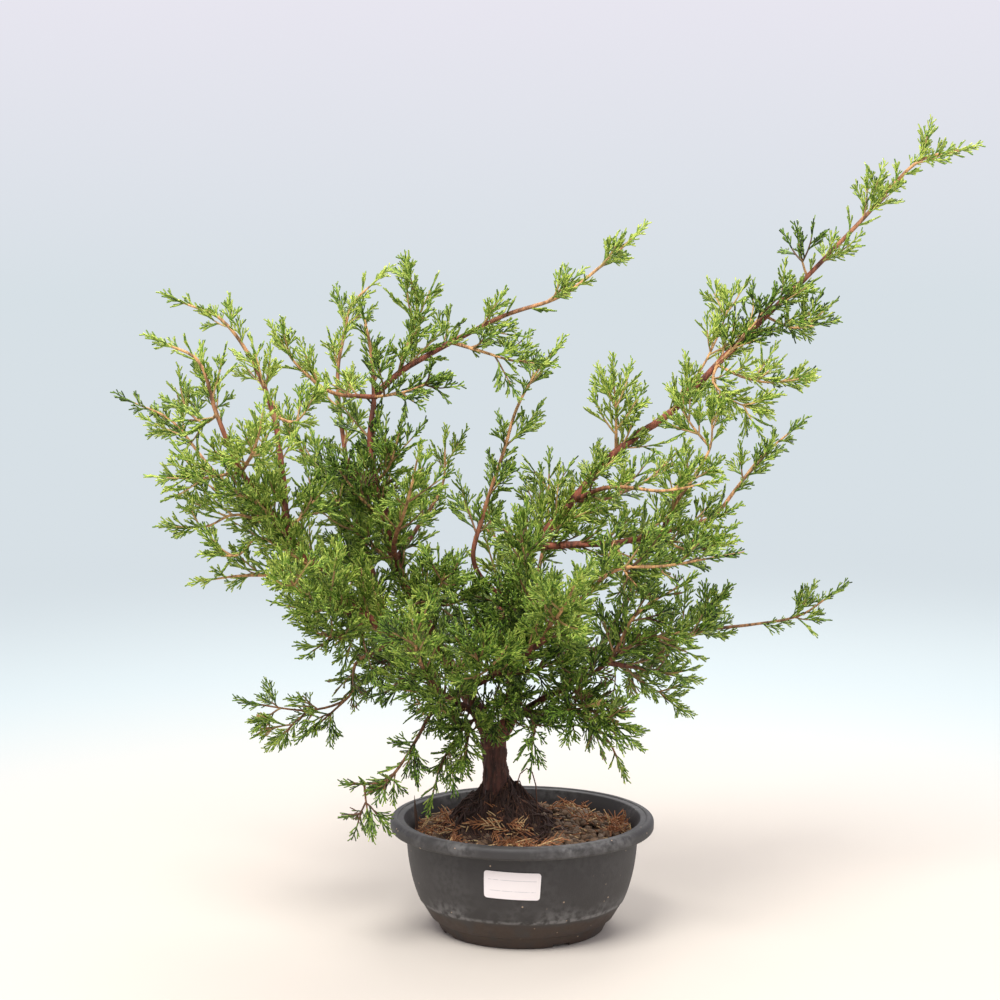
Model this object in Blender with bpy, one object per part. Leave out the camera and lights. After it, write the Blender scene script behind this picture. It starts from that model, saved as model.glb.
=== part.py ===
"""Young juniper bonsai in a round plastic training pot.

The pot stands on the ground plane with its axis on Z, and the front of the tree faces -Y. Every
named length is in millimetres; the objects are made in metres.
"""
import math

import bmesh
import bpy
from mathutils import Matrix, Vector, noise

MM = 0.001

# ---- driving dimensions, millimetres -----------------------------------------------------------
POT_HEIGHT = 80.0
RIM_RADIUS = 94.0  # outside of the rolled lip
RIM_MOUTH_RADIUS = 84.0  # inner edge of the lip
LIP_HEIGHT = 8.5
BODY_RADIUS = 82.5  # outside of the wall just under the lip
SHOULDER_RADIUS = 64.0  # outside of the wall where it meets the foot
FOOT_RADIUS = 58.7  # outer edge of the face that the pot stands on
FOOT_HEIGHT = 9.0
WALL = 2.2
FLOOR = 4.0
CHANNEL_COUNT = 4
CHANNEL_WIDTH = 13.0
CHANNEL_DEPTH = 2.0
CHANNEL_INNER_RADIUS = 18.0
FIRST_CHANNEL_DEG = -63.0
DRAIN_RADIUS = 4.0
DRAIN_CIRCLE_RADIUS = 38.0

SOIL_DROP = 10.0  # from the rim's top down to the soil
SOIL_CROWN = 2.0  # rise of the soil from the wall to the middle
GRANULE_RELIEF = 0.9

ROOT_BALL_RADIUS = 54.0
ROOT_BALL_BASE = 14.0  # mix under the root ball, above the pot's floor
MOUND_RADIUS = 36.0  # root mound where it leaves the soil
MOUND_HEIGHT = 34.0
MOUND_X, MOUND_Y = -10.0, -3.0  # middle of the mound at the soil

TREE_SCALE = 1.0  # spread and height of every limb
TRUNK_RADIUS = 8.8  # at the waist, half way to the first fork
LIMB_THICKNESS = 1.0  # multiplies every limb's own radii
FOLIAGE_FULLNESS = 1.0  # multiplies every plume's own radius

LABEL_WIDTH = 39.5
LABEL_HEIGHT = 19.5
LABEL_THICKNESS = 0.3
LABEL_MIDDLE_HEIGHT = 49.5
LABEL_AZIMUTH_DEG = -95.5
LABEL_TILT_DEG = -3.0
LABEL_CORNER = 2.0

STICK_RADIUS = 1.2
STICK_ABOVE = 25.0
STICK_BELOW = 18.0
STICK_WALL_GAP = 5.0  # from the stick's axis to the pot's wall at soil level
STICK_AZIMUTH_DEG = 183.0

# ---- clearances and mesh fineness --------------------------------------------------------------
CLEARANCE = 0.4  # between pieces that touch on the real object
POT_STEPS = 48
LIMB_SIDES = 7
SAMPLE_SPACING = 27.0  # between two cross sections of a limb

SOIL_LEVEL = POT_HEIGHT - SOIL_DROP
LIP_BOTTOM = POT_HEIGHT - LIP_HEIGHT

# ---- the tree ----------------------------------------------------------------------------------
# Routes are in millimetres from the pot's axis at soil level. A limb grows from the knot of its
# parent that comes second; its own knots follow, then its radius at the fork and at the tip.
TRUNK_ROUTE = [(-12, -2, -36), (-14, -3, 0), (-16, -5, 20), (-19, -5, 45), (-21, -5, 62), (-22, -5, 72)]
TRUNK_FLARE = [1.35, 1.75, 1.25, 1.0, 1.02, 0.85]  # radius at each knot, in waist radii

ROOTS = {  # azimuth in degrees, reach, depth at the end, radius at the trunk
    "front_right": (-28, 40, -16, 6.5),
    "right": (12, 46, -12, 5.5),
    "back": (85, 40, -18, 5.0),
    "left": (172, 36, -16, 5.5),
    "front_left": (235, 34, -18, 5.0),
}
ROOT_START = 16.0  # height above the soil at which a root leaves the trunk

LIMBS = {
    # name: (parent, parent's knot, [knots], radius at fork, radius at tip)
    "right_leader": ("trunk", 4, [(-7, 1, 82), (-6, 10, 118), (-14, 17, 162), (8, 20, 200), (37, 20, 234),
                                  (67, 20, 268), (106, 20, 297), (138, 20, 330), (172, 20, 364),
                                  (201, 20, 392), (242, 20, 435), (276, 20, 471), (306, 20, 480)], 5.2, 0.9),
    "centre_leader": ("trunk", 4, [(-30, -9, 84), (-42, -10, 104), (-58, -6, 130), (-74, 0, 160),
                                   (-90, 0, 192), (-95, 0, 220), (-103, 0, 248), (-107, 0, 278),
                                   (-104, 0, 308), (-106, 0, 340), (-110, -4, 362)], 6.4, 0.9),
    "left_leader": ("centre_leader", 3, [(-84, -20, 141), (-108, -32, 157), (-140, -48, 192),
                                         (-160, -60, 220), (-188, -76, 262), (-203, -82, 300),
                                         (-214, -84, 335), (-236, -84, 347)], 4.4, 0.8),
    "left_upright": ("left_leader", 4, [(-163, -59, 262), (-168, -58, 298), (-182, -56, 334),
                                        (-202, -56, 362), (-228, -59, 374)], 2.8, 0.7),
    "top_arm": ("centre_leader", 9, [(-86, 2, 325), (-50, 4, 346), (-12, 4, 365), (26, 4, 378),
                                     (56, 4, 400), (76, 4, 418)], 2.6, 0.7),
    "top_arm_spur": ("top_arm", 2, [(-28, -10, 340), (-8, -14, 334), (8, -14, 332)], 1.4, 0.6),
    "top_tuft": ("top_arm", 1, [(-78, 6, 352), (-74, 6, 372), (-78, 4, 390)], 1.5, 0.6),
    "middle_upright": ("right_leader", 3, [(-34, 4, 190), (-28, 2, 224), (-14, 0, 267), (-4, 0, 300),
                                           (9, 0, 324), (20, 0, 338)], 2.2, 0.6),
    "right_middle": ("right_leader", 4, [(34, 0, 204), (66, -6, 206), (97, -10, 214), (131, -12, 224),
                                         (150, -12, 246), (167, -12, 268), (186, -12, 284)], 3.0, 0.6),
    "right_upright": ("right_middle", 3, [(105, -14, 232), (119, -18, 254), (130, -18, 274),
                                          (131, -18, 296)], 1.8, 0.6),
    "front_right": ("centre_leader", 2, [(-22, -44, 118), (11, -70, 145), (40, -82, 178), (62, -90, 198),
                                         (93, -96, 201), (128, -102, 208)], 3.2, 0.6),
    "front_middle": ("front_right", 2, [(16, -100, 160), (24, -128, 176), (32, -150, 196)], 2.0, 0.6),
    "low_right": ("trunk", 5, [(4, -22, 92), (26, -40, 108), (57, -58, 130), (76, -66, 164),
                               (104, -72, 184)], 3.2, 0.6),
    "low_right_outer": ("low_right", 3, [(84, -50, 124), (108, -46, 118)], 2.0, 0.6),
    "low_right_hanging": ("right_leader", 1, [(14, -16, 88), (33, -28, 91), (47, -33, 85), (60, -35, 70),
                                              (66, -35, 58)], 2.2, 0.6),
    "back_right": ("right_leader", 2, [(22, 34, 122), (58, 54, 120), (99, 72, 116), (132, 81, 129),
                                       (172, 84, 134), (207, 86, 140), (232, 88, 156)], 3.0, 0.6),
    "back_right_upper": ("back_right", 2, [(78, 88, 150), (100, 108, 190), (118, 118, 226)], 2.2, 0.6),
    "back_middle": ("right_leader", 2, [(2, 50, 138), (12, 92, 168), (20, 120, 206), (22, 134, 246)], 3.0, 0.6),
    "back_low": ("back_middle", 1, [(-8, 92, 126), (-14, 128, 128), (-18, 156, 140)], 2.0, 0.6),
    "back_left": ("centre_leader", 3, [(-66, 24, 134), (-98, 52, 142), (-150, 78, 172), (-196, 98, 212),
                                       (-234, 108, 250), (-262, 110, 284), (-292, 110, 299)], 3.4, 0.6),
    "back_left_low": ("back_left", 2, [(-112, 92, 130), (-132, 124, 142), (-146, 148, 160)], 2.0, 0.6),
    "back_upright": ("back_left", 2, [(-116, 74, 196), (-130, 92, 256), (-137, 102, 313), (-133, 108, 346),
                                      (-126, 110, 372), (-108, 110, 390)], 2.6, 0.6),
    "back_centre": ("centre_leader", 5, [(-74, 34, 214), (-58, 60, 240), (-56, 70, 268)], 2.2, 0.6),
    "left_back_spray": ("centre_leader", 6, [(-126, 24, 238), (-158, 40, 266), (-182, 46, 306)], 2.2, 0.6),
    "left_outer_low": ("left_leader", 3, [(-168, -40, 188), (-194, -46, 188), (-212, -50, 186)], 1.8, 0.6),
    "left_hanging": ("left_leader", 1, [(-104, -22, 131), (-117, -20, 122), (-122, -14, 98),
                                        (-150, -12, 88), (-188, -10, 92)], 1.6, 0.6),
    "front_left": ("left_leader", 2, [(-124, -66, 166), (-144, -104, 182), (-156, -134, 204)], 2.4, 0.6),
    "front_left_upper": ("left_leader", 5, [(-176, -112, 278), (-168, -136, 296)], 1.6, 0.6),
    "front_centre": ("centre_leader", 1, [(-42, -46, 98), (-58, -88, 118), (-68, -126, 144),
                                          (-72, -150, 174)], 3.0, 0.6),
    "front_centre_high": ("centre_leader", 5, [(-88, -36, 212), (-78, -72, 240), (-70, -96, 272)], 2.4, 0.6),
    "low_front_hanging": ("centre_leader", 2, [(-62, -34, 92), (-76, -50, 70), (-92, -62, 50),
                                               (-108, -68, 48)], 1.8, 0.6),
    "leader_side_left": ("centre_leader", 9, [(-132, -18, 312), (-154, -28, 330), (-166, -32, 348)], 1.8, 0.6),
    "right_arm_low": ("right_leader", 5, [(62, -14, 246), (94, -44, 246), (122, -56, 252)], 2.0, 0.6),
    "right_arm_back": ("right_leader", 5, [(60, 48, 232), (92, 78, 242), (116, 92, 262)], 2.2, 0.6),
}
# Stretch of bare wood between the fork and the first leaves, and plume radius, where they differ.
BARE = {"right_leader": 150, "centre_leader": 95, "left_leader": 50, "top_arm": 22, "middle_upright": 55,
        "front_right": 60, "low_right": 35, "back_right": 60, "back_middle": 40, "back_left": 60,
        "back_upright": 40, "front_centre": 40, "left_hanging": 40, "low_front_hanging": 26}
BARE_DEFAULT = 12
PLUME = {"left_hanging": 24, "low_front_hanging": 20, "top_arm_spur": 18, "top_tuft": 20,
         "middle_upright": 24, "back_right": 26, "right_upright": 24, "low_right_hanging": 22,
         "right_leader": 36}
PLUME_DEFAULT = 30
PLUME_TIP = 15.0  # leaves past the end of the wood
SHORTEST_PLUME = 24.0
LEAST_LEAF = 3.0  # leaves beyond the bark at a plume's thinnest ring
SHARE = 0.46  # of the distance to the next leafy limb

COLOURS = {  # linear colour, roughness
    "pot": ((0.045, 0.045, 0.046), 0.62),
    "soil": ((0.13, 0.075, 0.045), 0.95),
    "root_ball": ((0.035, 0.02, 0.014), 0.95),
    "wood": ((0.11, 0.035, 0.02), 0.8),
    "foliage": ((0.09, 0.24, 0.04), 0.6),
    "label": ((0.82, 0.78, 0.76), 0.6),
    "stick": ((0.05, 0.025, 0.015), 0.85),
}


# ---- objects and materials ---------------------------------------------------------------------
def clear_scene():
    for item in list(bpy.data.objects):
        bpy.data.objects.remove(item, do_unlink=True)


def material(name):
    found = bpy.data.materials.get(name)
    if found:
        return found
    colour, roughness = COLOURS[name]
    made = bpy.data.materials.new(name)
    made.use_nodes = True
    shader = made.node_tree.nodes["Principled BSDF"]
    shader.inputs["Base Color"].default_value = (*colour, 1.0)
    shader.inputs["Roughness"].default_value = roughness
    shader.inputs["Metallic"].default_value = 0.0
    return made


def to_object(name, bm, finish=None):
    """Turn a millimetre bmesh into a metre object with its faces pointing out."""
    bmesh.ops.recalc_face_normals(bm, faces=bm.faces)
    bmesh.ops.scale(bm, vec=(MM, MM, MM), verts=bm.verts)
    mesh = bpy.data.meshes.new(name)
    bm.to_mesh(mesh)
    bm.free()
    made = bpy.data.objects.new(name, mesh)
    bpy.context.scene.collection.objects.link(made)
    if finish:
        mesh.materials.append(material(finish))
        mesh.shade_smooth()
        mesh.set_sharp_from_angle(angle=math.radians(40))
    return made


def as_guide(item):
    item.hide_render = True
    item.display_type = "WIRE"
    return item


def guide_collection(name, items):
    group = bpy.data.collections.new(name)
    for item in items:
        group.objects.link(as_guide(item))
    return group


def boolean(target, operation, group=None, item=None):
    cut = target.modifiers.new(operation.lower(), "BOOLEAN")
    cut.operation = operation
    cut.solver = "EXACT"
    if group:
        cut.operand_type = "COLLECTION"
        cut.collection = group
    else:
        cut.object = item


# ---- turned pieces -----------------------------------------------------------------------------
def turned(profile):
    """Spin (radius, height) points round Z; the profile starts and ends on the axis."""
    bm = bmesh.new()
    verts = [bm.verts.new((r, 0.0, z)) for r, z in profile]
    edges = [bm.edges.new(pair) for pair in zip(verts, verts[1:])]
    bmesh.ops.spin(bm, geom=verts + edges, cent=(0, 0, 0), axis=(0, 0, 1), angle=math.tau,
                   steps=POT_STEPS, use_merge=True)
    bmesh.ops.remove_doubles(bm, verts=bm.verts, dist=0.001)
    return bm


BELLY_FRACTIONS = (0.0, 0.03, 0.08, 0.16, 0.28, 0.45, 0.7, 1.0)


def belly(fraction):
    """Share of the wall's flare reached at a share of its height: steep at the foot, then upright."""
    return (1.0 - (1.0 - fraction) ** 2) ** 0.68


WALL_POINTS = [(SHOULDER_RADIUS + (BODY_RADIUS - SHOULDER_RADIUS) * belly(f),
                FOOT_HEIGHT + (LIP_BOTTOM - FOOT_HEIGHT) * f) for f in BELLY_FRACTIONS]


def wall_radius(height):
    """Outside radius of the pot's bellied wall at a height."""
    for (r0, z0), (r1, z1) in zip(WALL_POINTS, WALL_POINTS[1:]):
        if height <= z1:
            return r0 + (r1 - r0) * (height - z0) / (z1 - z0)
    return BODY_RADIUS


# Where the mouth is wider than the wall below, its slope rises clear of the lip's underside.
LEDGE = min(1.0, max(0.0, RIM_MOUTH_RADIUS - BODY_RADIUS - WALL) / WALL)
THROAT = LIP_BOTTOM - 1.0 + (1.0 + WALL) * LEDGE
INNER_POINTS = [(RIM_MOUTH_RADIUS, POT_HEIGHT - 1.6), (BODY_RADIUS - WALL, THROAT)]
INNER_POINTS += [(r - WALL, z) for r, z in reversed(WALL_POINTS[3:-1])]
INNER_POINTS += [(SHOULDER_RADIUS - WALL - 1.0, FLOOR + 5.0), (SHOULDER_RADIUS - WALL - 5.0, FLOOR)]


def inner_radius(height):
    """Inside radius of the pot at a height."""
    for (r1, z1), (r0, z0) in zip(INNER_POINTS, INNER_POINTS[1:]):
        if height >= z0:
            return r0 + (r1 - r0) * (height - z0) / (z1 - z0)
    return INNER_POINTS[-1][0]


def make_pot():
    lip_groove = RIM_MOUTH_RADIUS + 0.42 * (RIM_RADIUS - RIM_MOUTH_RADIUS)
    profile = [(0.0, 0.0), (FOOT_RADIUS - 0.8, 0.0), (FOOT_RADIUS, 0.8)]
    profile += [(SHOULDER_RADIUS - 1.6, FOOT_HEIGHT - 1.2)]
    profile += WALL_POINTS[:-1]
    profile += [(BODY_RADIUS, LIP_BOTTOM), (RIM_RADIUS - 1.4, LIP_BOTTOM - 0.2)]
    profile += [(RIM_RADIUS, LIP_BOTTOM + 1.2), (RIM_RADIUS, POT_HEIGHT - 2.6)]
    profile += [(RIM_RADIUS - 1.0, POT_HEIGHT - 0.8), (RIM_RADIUS - 3.0, POT_HEIGHT)]
    profile += [(lip_groove + 0.8, POT_HEIGHT), (lip_groove, POT_HEIGHT - 0.8)]
    profile += [(RIM_MOUTH_RADIUS + 0.8, POT_HEIGHT - 0.8)]
    profile += INNER_POINTS + [(0.0, FLOOR)]
    pot = to_object("pot", turned(profile), "pot")
    cutters = []
    reach = FOOT_RADIUS + 12.0 - CHANNEL_INNER_RADIUS
    for index in range(CHANNEL_COUNT):
        azimuth = math.radians(FIRST_CHANNEL_DEG) + math.tau * index / CHANNEL_COUNT
        turn = Matrix.Rotation(azimuth, 4, "Z")
        bm = bmesh.new()
        box = Matrix.Diagonal((reach, CHANNEL_WIDTH, 2 * CHANNEL_DEPTH, 1.0))
        place = turn @ Matrix.Translation((CHANNEL_INNER_RADIUS + reach / 2, 0, 0))
        bmesh.ops.create_cube(bm, size=1.0, matrix=place @ box)
        cutters.append(to_object(f"channel_guide_{index}", bm))
        bm = bmesh.new()
        bmesh.ops.create_cone(bm, cap_ends=True, segments=16, radius1=DRAIN_RADIUS, radius2=DRAIN_RADIUS,
                              depth=4 * FLOOR, matrix=turn @ Matrix.Translation((DRAIN_CIRCLE_RADIUS, 0, 0)))
        cutters.append(to_object(f"drain_guide_{index}", bm))
    boolean(pot, "DIFFERENCE", group=guide_collection("drainage", cutters))


# ---- soil and root ball ------------------------------------------------------------------------
def lean(height):
    """Offset of the root ball's middle at a height: none when buried, all of it at the soil."""
    start = FLOOR + ROOT_BALL_BASE
    share = min(1.0, max(0.0, (height - start) / (SOIL_LEVEL - start)))
    return Vector((MOUND_X, MOUND_Y, 0.0)) * share * share


def root_ball_points(grow):
    """Profile of the root ball, pushed outward by grow; the mound's side starts at the third last."""
    base = FLOOR + ROOT_BALL_BASE
    middle = 0.5 * (base + SOIL_LEVEL)
    return [(ROOT_BALL_RADIUS - 8.0, base - grow), (ROOT_BALL_RADIUS + grow, base + 7.0),
            (ROOT_BALL_RADIUS + grow, middle), (MOUND_RADIUS + 10.0 + grow, SOIL_LEVEL - 9.0),
            (MOUND_RADIUS + grow, SOIL_LEVEL + SOIL_CROWN)]


def make_root_ball(wood_cutters):
    profile = [(0.0, FLOOR + ROOT_BALL_BASE)] + root_ball_points(0.0)
    for share, rise in ((0.7, 0.32), (0.44, 0.72), (0.22, 1.0)):
        profile.append((MOUND_RADIUS * share, SOIL_LEVEL + MOUND_HEIGHT * rise))
    profile.append((0.0, SOIL_LEVEL + MOUND_HEIGHT))
    bm = turned(profile)
    for vert in bm.verts:
        outward = Vector((vert.co.x, vert.co.y, 0.0))
        if vert.co.z > SOIL_LEVEL + SOIL_CROWN + 1.0 and outward.length > 1.0:
            lump = noise.noise(vert.co * 0.09)
            vert.co += outward.normalized() * 3.0 * lump
        vert.co += lean(vert.co.z)
    ball = to_object("root_ball", bm, "root_ball")
    boolean(ball, "DIFFERENCE", group=wood_cutters)


def make_soil(stick_cutter):
    pocket = root_ball_points(CLEARANCE)
    brim = [point for point in INNER_POINTS if point[1] < SOIL_LEVEL - 2.0]
    edge_z = SOIL_LEVEL - SOIL_CROWN
    outside = [(inner_radius(edge_z) - CLEARANCE, edge_z)]
    outside += [(r - CLEARANCE, z) for r, z in brim[:-1] if z < edge_z - 3.0]
    outside += [(INNER_POINTS[-1][0] - CLEARANCE, FLOOR + CLEARANCE)]
    mouth = pocket[-1][0]
    top = []
    for share in (0.12, 0.32, 0.52, 0.72, 0.9):
        r = mouth + (outside[0][0] - mouth) * share
        top.append((r, SOIL_LEVEL + SOIL_CROWN * (1.0 - 2.0 * share * share)))
    profile = [(0.0, FLOOR + CLEARANCE)] + outside[::-1] + top[::-1]
    profile += pocket[::-1] + [(0.0, FLOOR + ROOT_BALL_BASE - CLEARANCE)]
    bm = turned(profile)
    leaning = max(r for r, z in pocket) + 1.0
    top_radii = [r for r, z in top]
    for vert in bm.verts:
        radius = math.hypot(vert.co.x, vert.co.y)
        on_top = vert.co.z > SOIL_LEVEL - SOIL_CROWN + 0.01 and any(abs(radius - r) < 0.05 for r in top_radii)
        if on_top:
            share = (outside[0][0] - radius) / (outside[0][0] - mouth)
            vert.co += lean(SOIL_LEVEL) * share
            vert.co.z += GRANULE_RELIEF * noise.noise(vert.co * 0.23)
        elif radius < leaning and vert.co.z >= FLOOR + ROOT_BALL_BASE - 2 * CLEARANCE:
            vert.co += lean(vert.co.z)
    soil = to_object("soil", bm, "soil")
    boolean(soil, "DIFFERENCE", item=stick_cutter)


# ---- limbs -------------------------------------------------------------------------------------
class Limb:
    """A smooth centre line through a limb's knots, with a radius and a frame at each sample."""

    def __init__(self, knots, radii, spacing=SAMPLE_SPACING):
        self.points = []
        self.radii = []
        self.knot_samples = []
        ends = [2 * knots[0] - knots[1]] + knots + [2 * knots[-1] - knots[-2]]
        for index in range(len(knots) - 1):
            a, b, c, d = ends[index:index + 4]
            steps = max(1, round((c - b).length / spacing))
            self.knot_samples.append(len(self.points))
            for step in range(steps):
                t = step / steps
                bend = (2 * b + (c - a) * t + (2 * a - 5 * b + 4 * c - d) * t * t
                        + (3 * b - a - 3 * c + d) * t ** 3)
                self.points.append(0.5 * bend)
                self.radii.append(radii[index] + (radii[index + 1] - radii[index]) * t)
        self.knot_samples.append(len(self.points))
        self.points.append(knots[-1].copy())
        self.radii.append(radii[-1])
        self.frames = self.make_frames()
        self.lengths = [0.0]
        for before, after in zip(self.points, self.points[1:]):
            self.lengths.append(self.lengths[-1] + (after - before).length)

    def make_frames(self):
        """A square frame at each sample, carried along the limb without twisting."""
        frames = []
        side = Vector((0.3, 1.0, 0.1))
        for index in range(len(self.points)):
            before = self.points[max(0, index - 1)]
            after = self.points[min(len(self.points) - 1, index + 1)]
            along = (after - before).normalized()
            side = (side - along * side.dot(along)).normalized()
            frame = Matrix((side, along.cross(side), along)).transposed()
            frames.append(frame.to_4x4())
        return frames

    def ring(self, bm, index, radius, sides, shift=0.0):
        """A ring of vertices round the limb at a sample; returns its edges."""
        along = self.frames[index].to_3x3().col[2]
        place = Matrix.Translation(self.points[index] + along * shift) @ self.frames[index]
        made = bmesh.ops.create_circle(bm, cap_ends=False, segments=sides, radius=radius, matrix=place)
        return list({edge for vert in made["verts"] for edge in vert.link_edges})


def bridge(bm, rings):
    for first, second in zip(rings, rings[1:]):
        bmesh.ops.bridge_loops(bm, edges=first + second)


def tube(limb, grow=0.0, longer=0.0):
    """A closed tube along a limb, grown in radius and past its tip."""
    bm = bmesh.new()
    rings = []
    last = len(limb.points) - 1
    for index, radius in enumerate(limb.radii):
        shift = longer if index == last else 0.0
        rings.append(limb.ring(bm, index, radius + grow, LIMB_SIDES, shift))
    bridge(bm, rings)
    bmesh.ops.contextual_create(bm, geom=rings[0])
    bmesh.ops.contextual_create(bm, geom=rings[-1])
    return bm


def place_knot(knot, scale):
    x, y, z = knot
    return Vector((x * scale, y * scale, SOIL_LEVEL + z * scale))


def grow_limbs(scale, thickness):
    """All limbs by name, each starting on its parent's centre line."""
    knots = {"trunk": [place_knot(k, scale) for k in TRUNK_ROUTE]}
    for index, (x, y, z) in enumerate(TRUNK_ROUTE):
        if z <= 0:  # the buried end keeps to the soil, whatever the tree's scale
            knots["trunk"][index] = Vector((x, y, SOIL_LEVEL + z))
    spacing = SAMPLE_SPACING * scale  # a larger tree is the same tree, with no more samples
    limbs = {"trunk": Limb(knots["trunk"], [TRUNK_RADIUS * flare for flare in TRUNK_FLARE], spacing)}
    for name, (parent, knot, route, at_fork, at_tip) in LIMBS.items():
        knots[name] = [knots[parent][knot]] + [place_knot(k, scale) for k in route]
        count = len(knots[name]) - 1
        radii = [thickness * (at_fork + (at_tip - at_fork) * (i / count) ** 0.8) for i in range(count + 1)]
        limbs[name] = Limb(knots[name], radii, spacing)
    return limbs


def grow_roots(trunk):
    """Tapered roots that leave the trunk's flare and run down into the root ball."""
    roots = {}
    for name, (azimuth, reach, depth, radius) in ROOTS.items():
        out = Vector((math.cos(math.radians(azimuth)), math.sin(math.radians(azimuth)), 0.0))
        foot = Vector((TRUNK_ROUTE[1][0], TRUNK_ROUTE[1][1], SOIL_LEVEL))
        waist = TRUNK_RADIUS
        knots = [foot + Vector((0, 0, ROOT_START)), foot + out * waist * 1.1 + Vector((0, 0, ROOT_START * 0.62)),
                 foot + out * reach * 0.55 + Vector((0, 0, 1.0)), foot + out * reach + Vector((0, 0, depth))]
        roots[name] = Limb(knots, [radius, radius * 0.9, radius * 0.6, radius * 0.3])
    return roots


def make_wood(limbs, roots):
    wood = to_object("trunk_and_limbs", tube(limbs["trunk"]), "wood")
    guides = [to_object(f"{name}_limb_guide", tube(limb)) for name, limb in limbs.items() if name != "trunk"]
    guides += [to_object(f"{name}_root_guide", tube(root)) for name, root in roots.items()]
    boolean(wood, "UNION", group=guide_collection("limbs", guides))


def wood_cutters(limbs, roots):
    """The buried wood, grown by the clearance, to cut the root ball with."""
    buried = {"trunk": limbs["trunk"], **roots}
    cutters = [to_object(f"{name}_pocket_guide", tube(limb, CLEARANCE, CLEARANCE)) for name, limb in buried.items()]
    return guide_collection("root_pockets", cutters)


# ---- foliage -----------------------------------------------------------------------------------
def leafy_stretches(name, limbs):
    """The runs of samples of a limb that carry leaves, cut where its side limbs fork off."""
    limb = limbs[name]
    bare = BARE.get(name, BARE_DEFAULT)
    cuts = {limb.knot_samples[knot] for parent, knot, *rest in LIMBS.values() if parent == name}
    last = len(limb.points) - 1
    marks = [0] + sorted(cuts - {0, last}) + [last]
    for first, second in zip(marks, marks[1:]):
        first = next((i for i in range(first, second + 1) if limb.lengths[i] >= bare), second)
        if limb.lengths[second] - limb.lengths[first] > SHORTEST_PLUME:
            yield first, second


def room_at(point, own, limbs, leafy):
    """How thick a plume can be at a point before it meets another limb, its leaves, or the pot."""
    out = math.hypot(point.x, point.y)
    above = point.z - POT_HEIGHT
    if out > RIM_RADIUS:
        room = math.hypot(out - RIM_RADIUS, max(0.0, above))
    else:
        room = above
    room -= CLEARANCE
    for name, limb in limbs.items():
        if name == own:
            continue
        for index in range(len(limb.points) - 1):
            start, end = limb.points[index], limb.points[index + 1]
            run = end - start
            share = min(1.0, max(0.0, (point - start).dot(run) / run.length_squared))
            away = (point - start - run * share).length
            room = min(room, away - limb.radii[index] - CLEARANCE)
            if (name, index) in leafy or (name, index + 1) in leafy:
                room = min(room, away * SHARE)
    return room


def leaf_radius(name, index, first, last, limbs, leafy):
    """Radius of a plume at one of its samples: what it wants, or what there is room for."""
    limb = limbs[name]
    wanted = PLUME.get(name, PLUME_DEFAULT) * FOLIAGE_FULLNESS
    along = (limb.lengths[index] - limb.lengths[first]) / (limb.lengths[last] - limb.lengths[first])
    at_tip = last == len(limb.points) - 1
    swell = math.sin(math.pi * (0.12 + (0.68 if at_tip else 0.76) * along))
    near = [limb.points[index]]
    for other in (index - 1, index + 1):
        if 0 <= other < len(limb.points):
            near.append((limb.points[index] + limb.points[other]) / 2)
    return min(wanted * swell, min(room_at(point, name, limbs, leafy) for point in near))


def plume_rings(name, first, last, plan, limbs, leafy):
    """Sample and leaf radius for each ring of a plume; the tree as planned decides where leaves grow."""
    rings = []
    for index in range(first, last + 1):
        radius = leaf_radius(name, index, first, last, plan, leafy)
        if radius >= plan[name].radii[index] + CLEARANCE + LEAST_LEAF:
            rings.append((index, leaf_radius(name, index, first, last, limbs, leafy)))
        elif rings:
            break
    return rings


def make_plume(node, limb, rings):
    """Leaves round a limb: a swelling sleeve, open where the wood comes in, pointed past its tip."""
    bm = bmesh.new()
    bore = CLEARANCE + 0.15
    outer = [limb.ring(bm, index, radius, LIMB_SIDES) for index, radius in rings]
    inner = [limb.ring(bm, index, limb.radii[index] + bore, LIMB_SIDES) for index, radius in rings]
    bridge(bm, [inner[0]] + outer)
    at_tip = rings[-1][0] == len(limb.points) - 1
    if at_tip:
        end = rings[-1][0]
        tip_ring = limb.ring(bm, end, 0.45 * rings[-1][1], LIMB_SIDES, 0.62 * PLUME_TIP)
        bridge(bm, [outer[-1], tip_ring])
        bmesh.ops.contextual_create(bm, geom=tip_ring)
        blind = limb.ring(bm, end, limb.radii[end] + bore, LIMB_SIDES, 2 * CLEARANCE)
        bridge(bm, inner + [blind])
        bmesh.ops.contextual_create(bm, geom=blind)
    else:
        bridge(bm, inner + [outer[-1]])
    to_object(node, bm, "foliage")


def make_foliage(limbs):
    plan = grow_limbs(1.0, 1.0)
    stretches = [(name, *run) for name in LIMBS for run in leafy_stretches(name, plan)]
    leafy = {(name, i) for name, first, last in stretches for i in range(first, last + 1)}
    for name in LIMBS:
        own = [(first, last) for limb, first, last in stretches if limb == name]
        sleeves = [plume_rings(name, first, last, plan, limbs, leafy) for first, last in own]
        sleeves = [rings for rings in sleeves if len(rings) > 1]
        for number, rings in enumerate(sleeves, start=1):
            suffix = f"_{number}" if len(sleeves) > 1 else ""
            make_plume(f"foliage_{name}{suffix}", limbs[name], rings)


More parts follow.
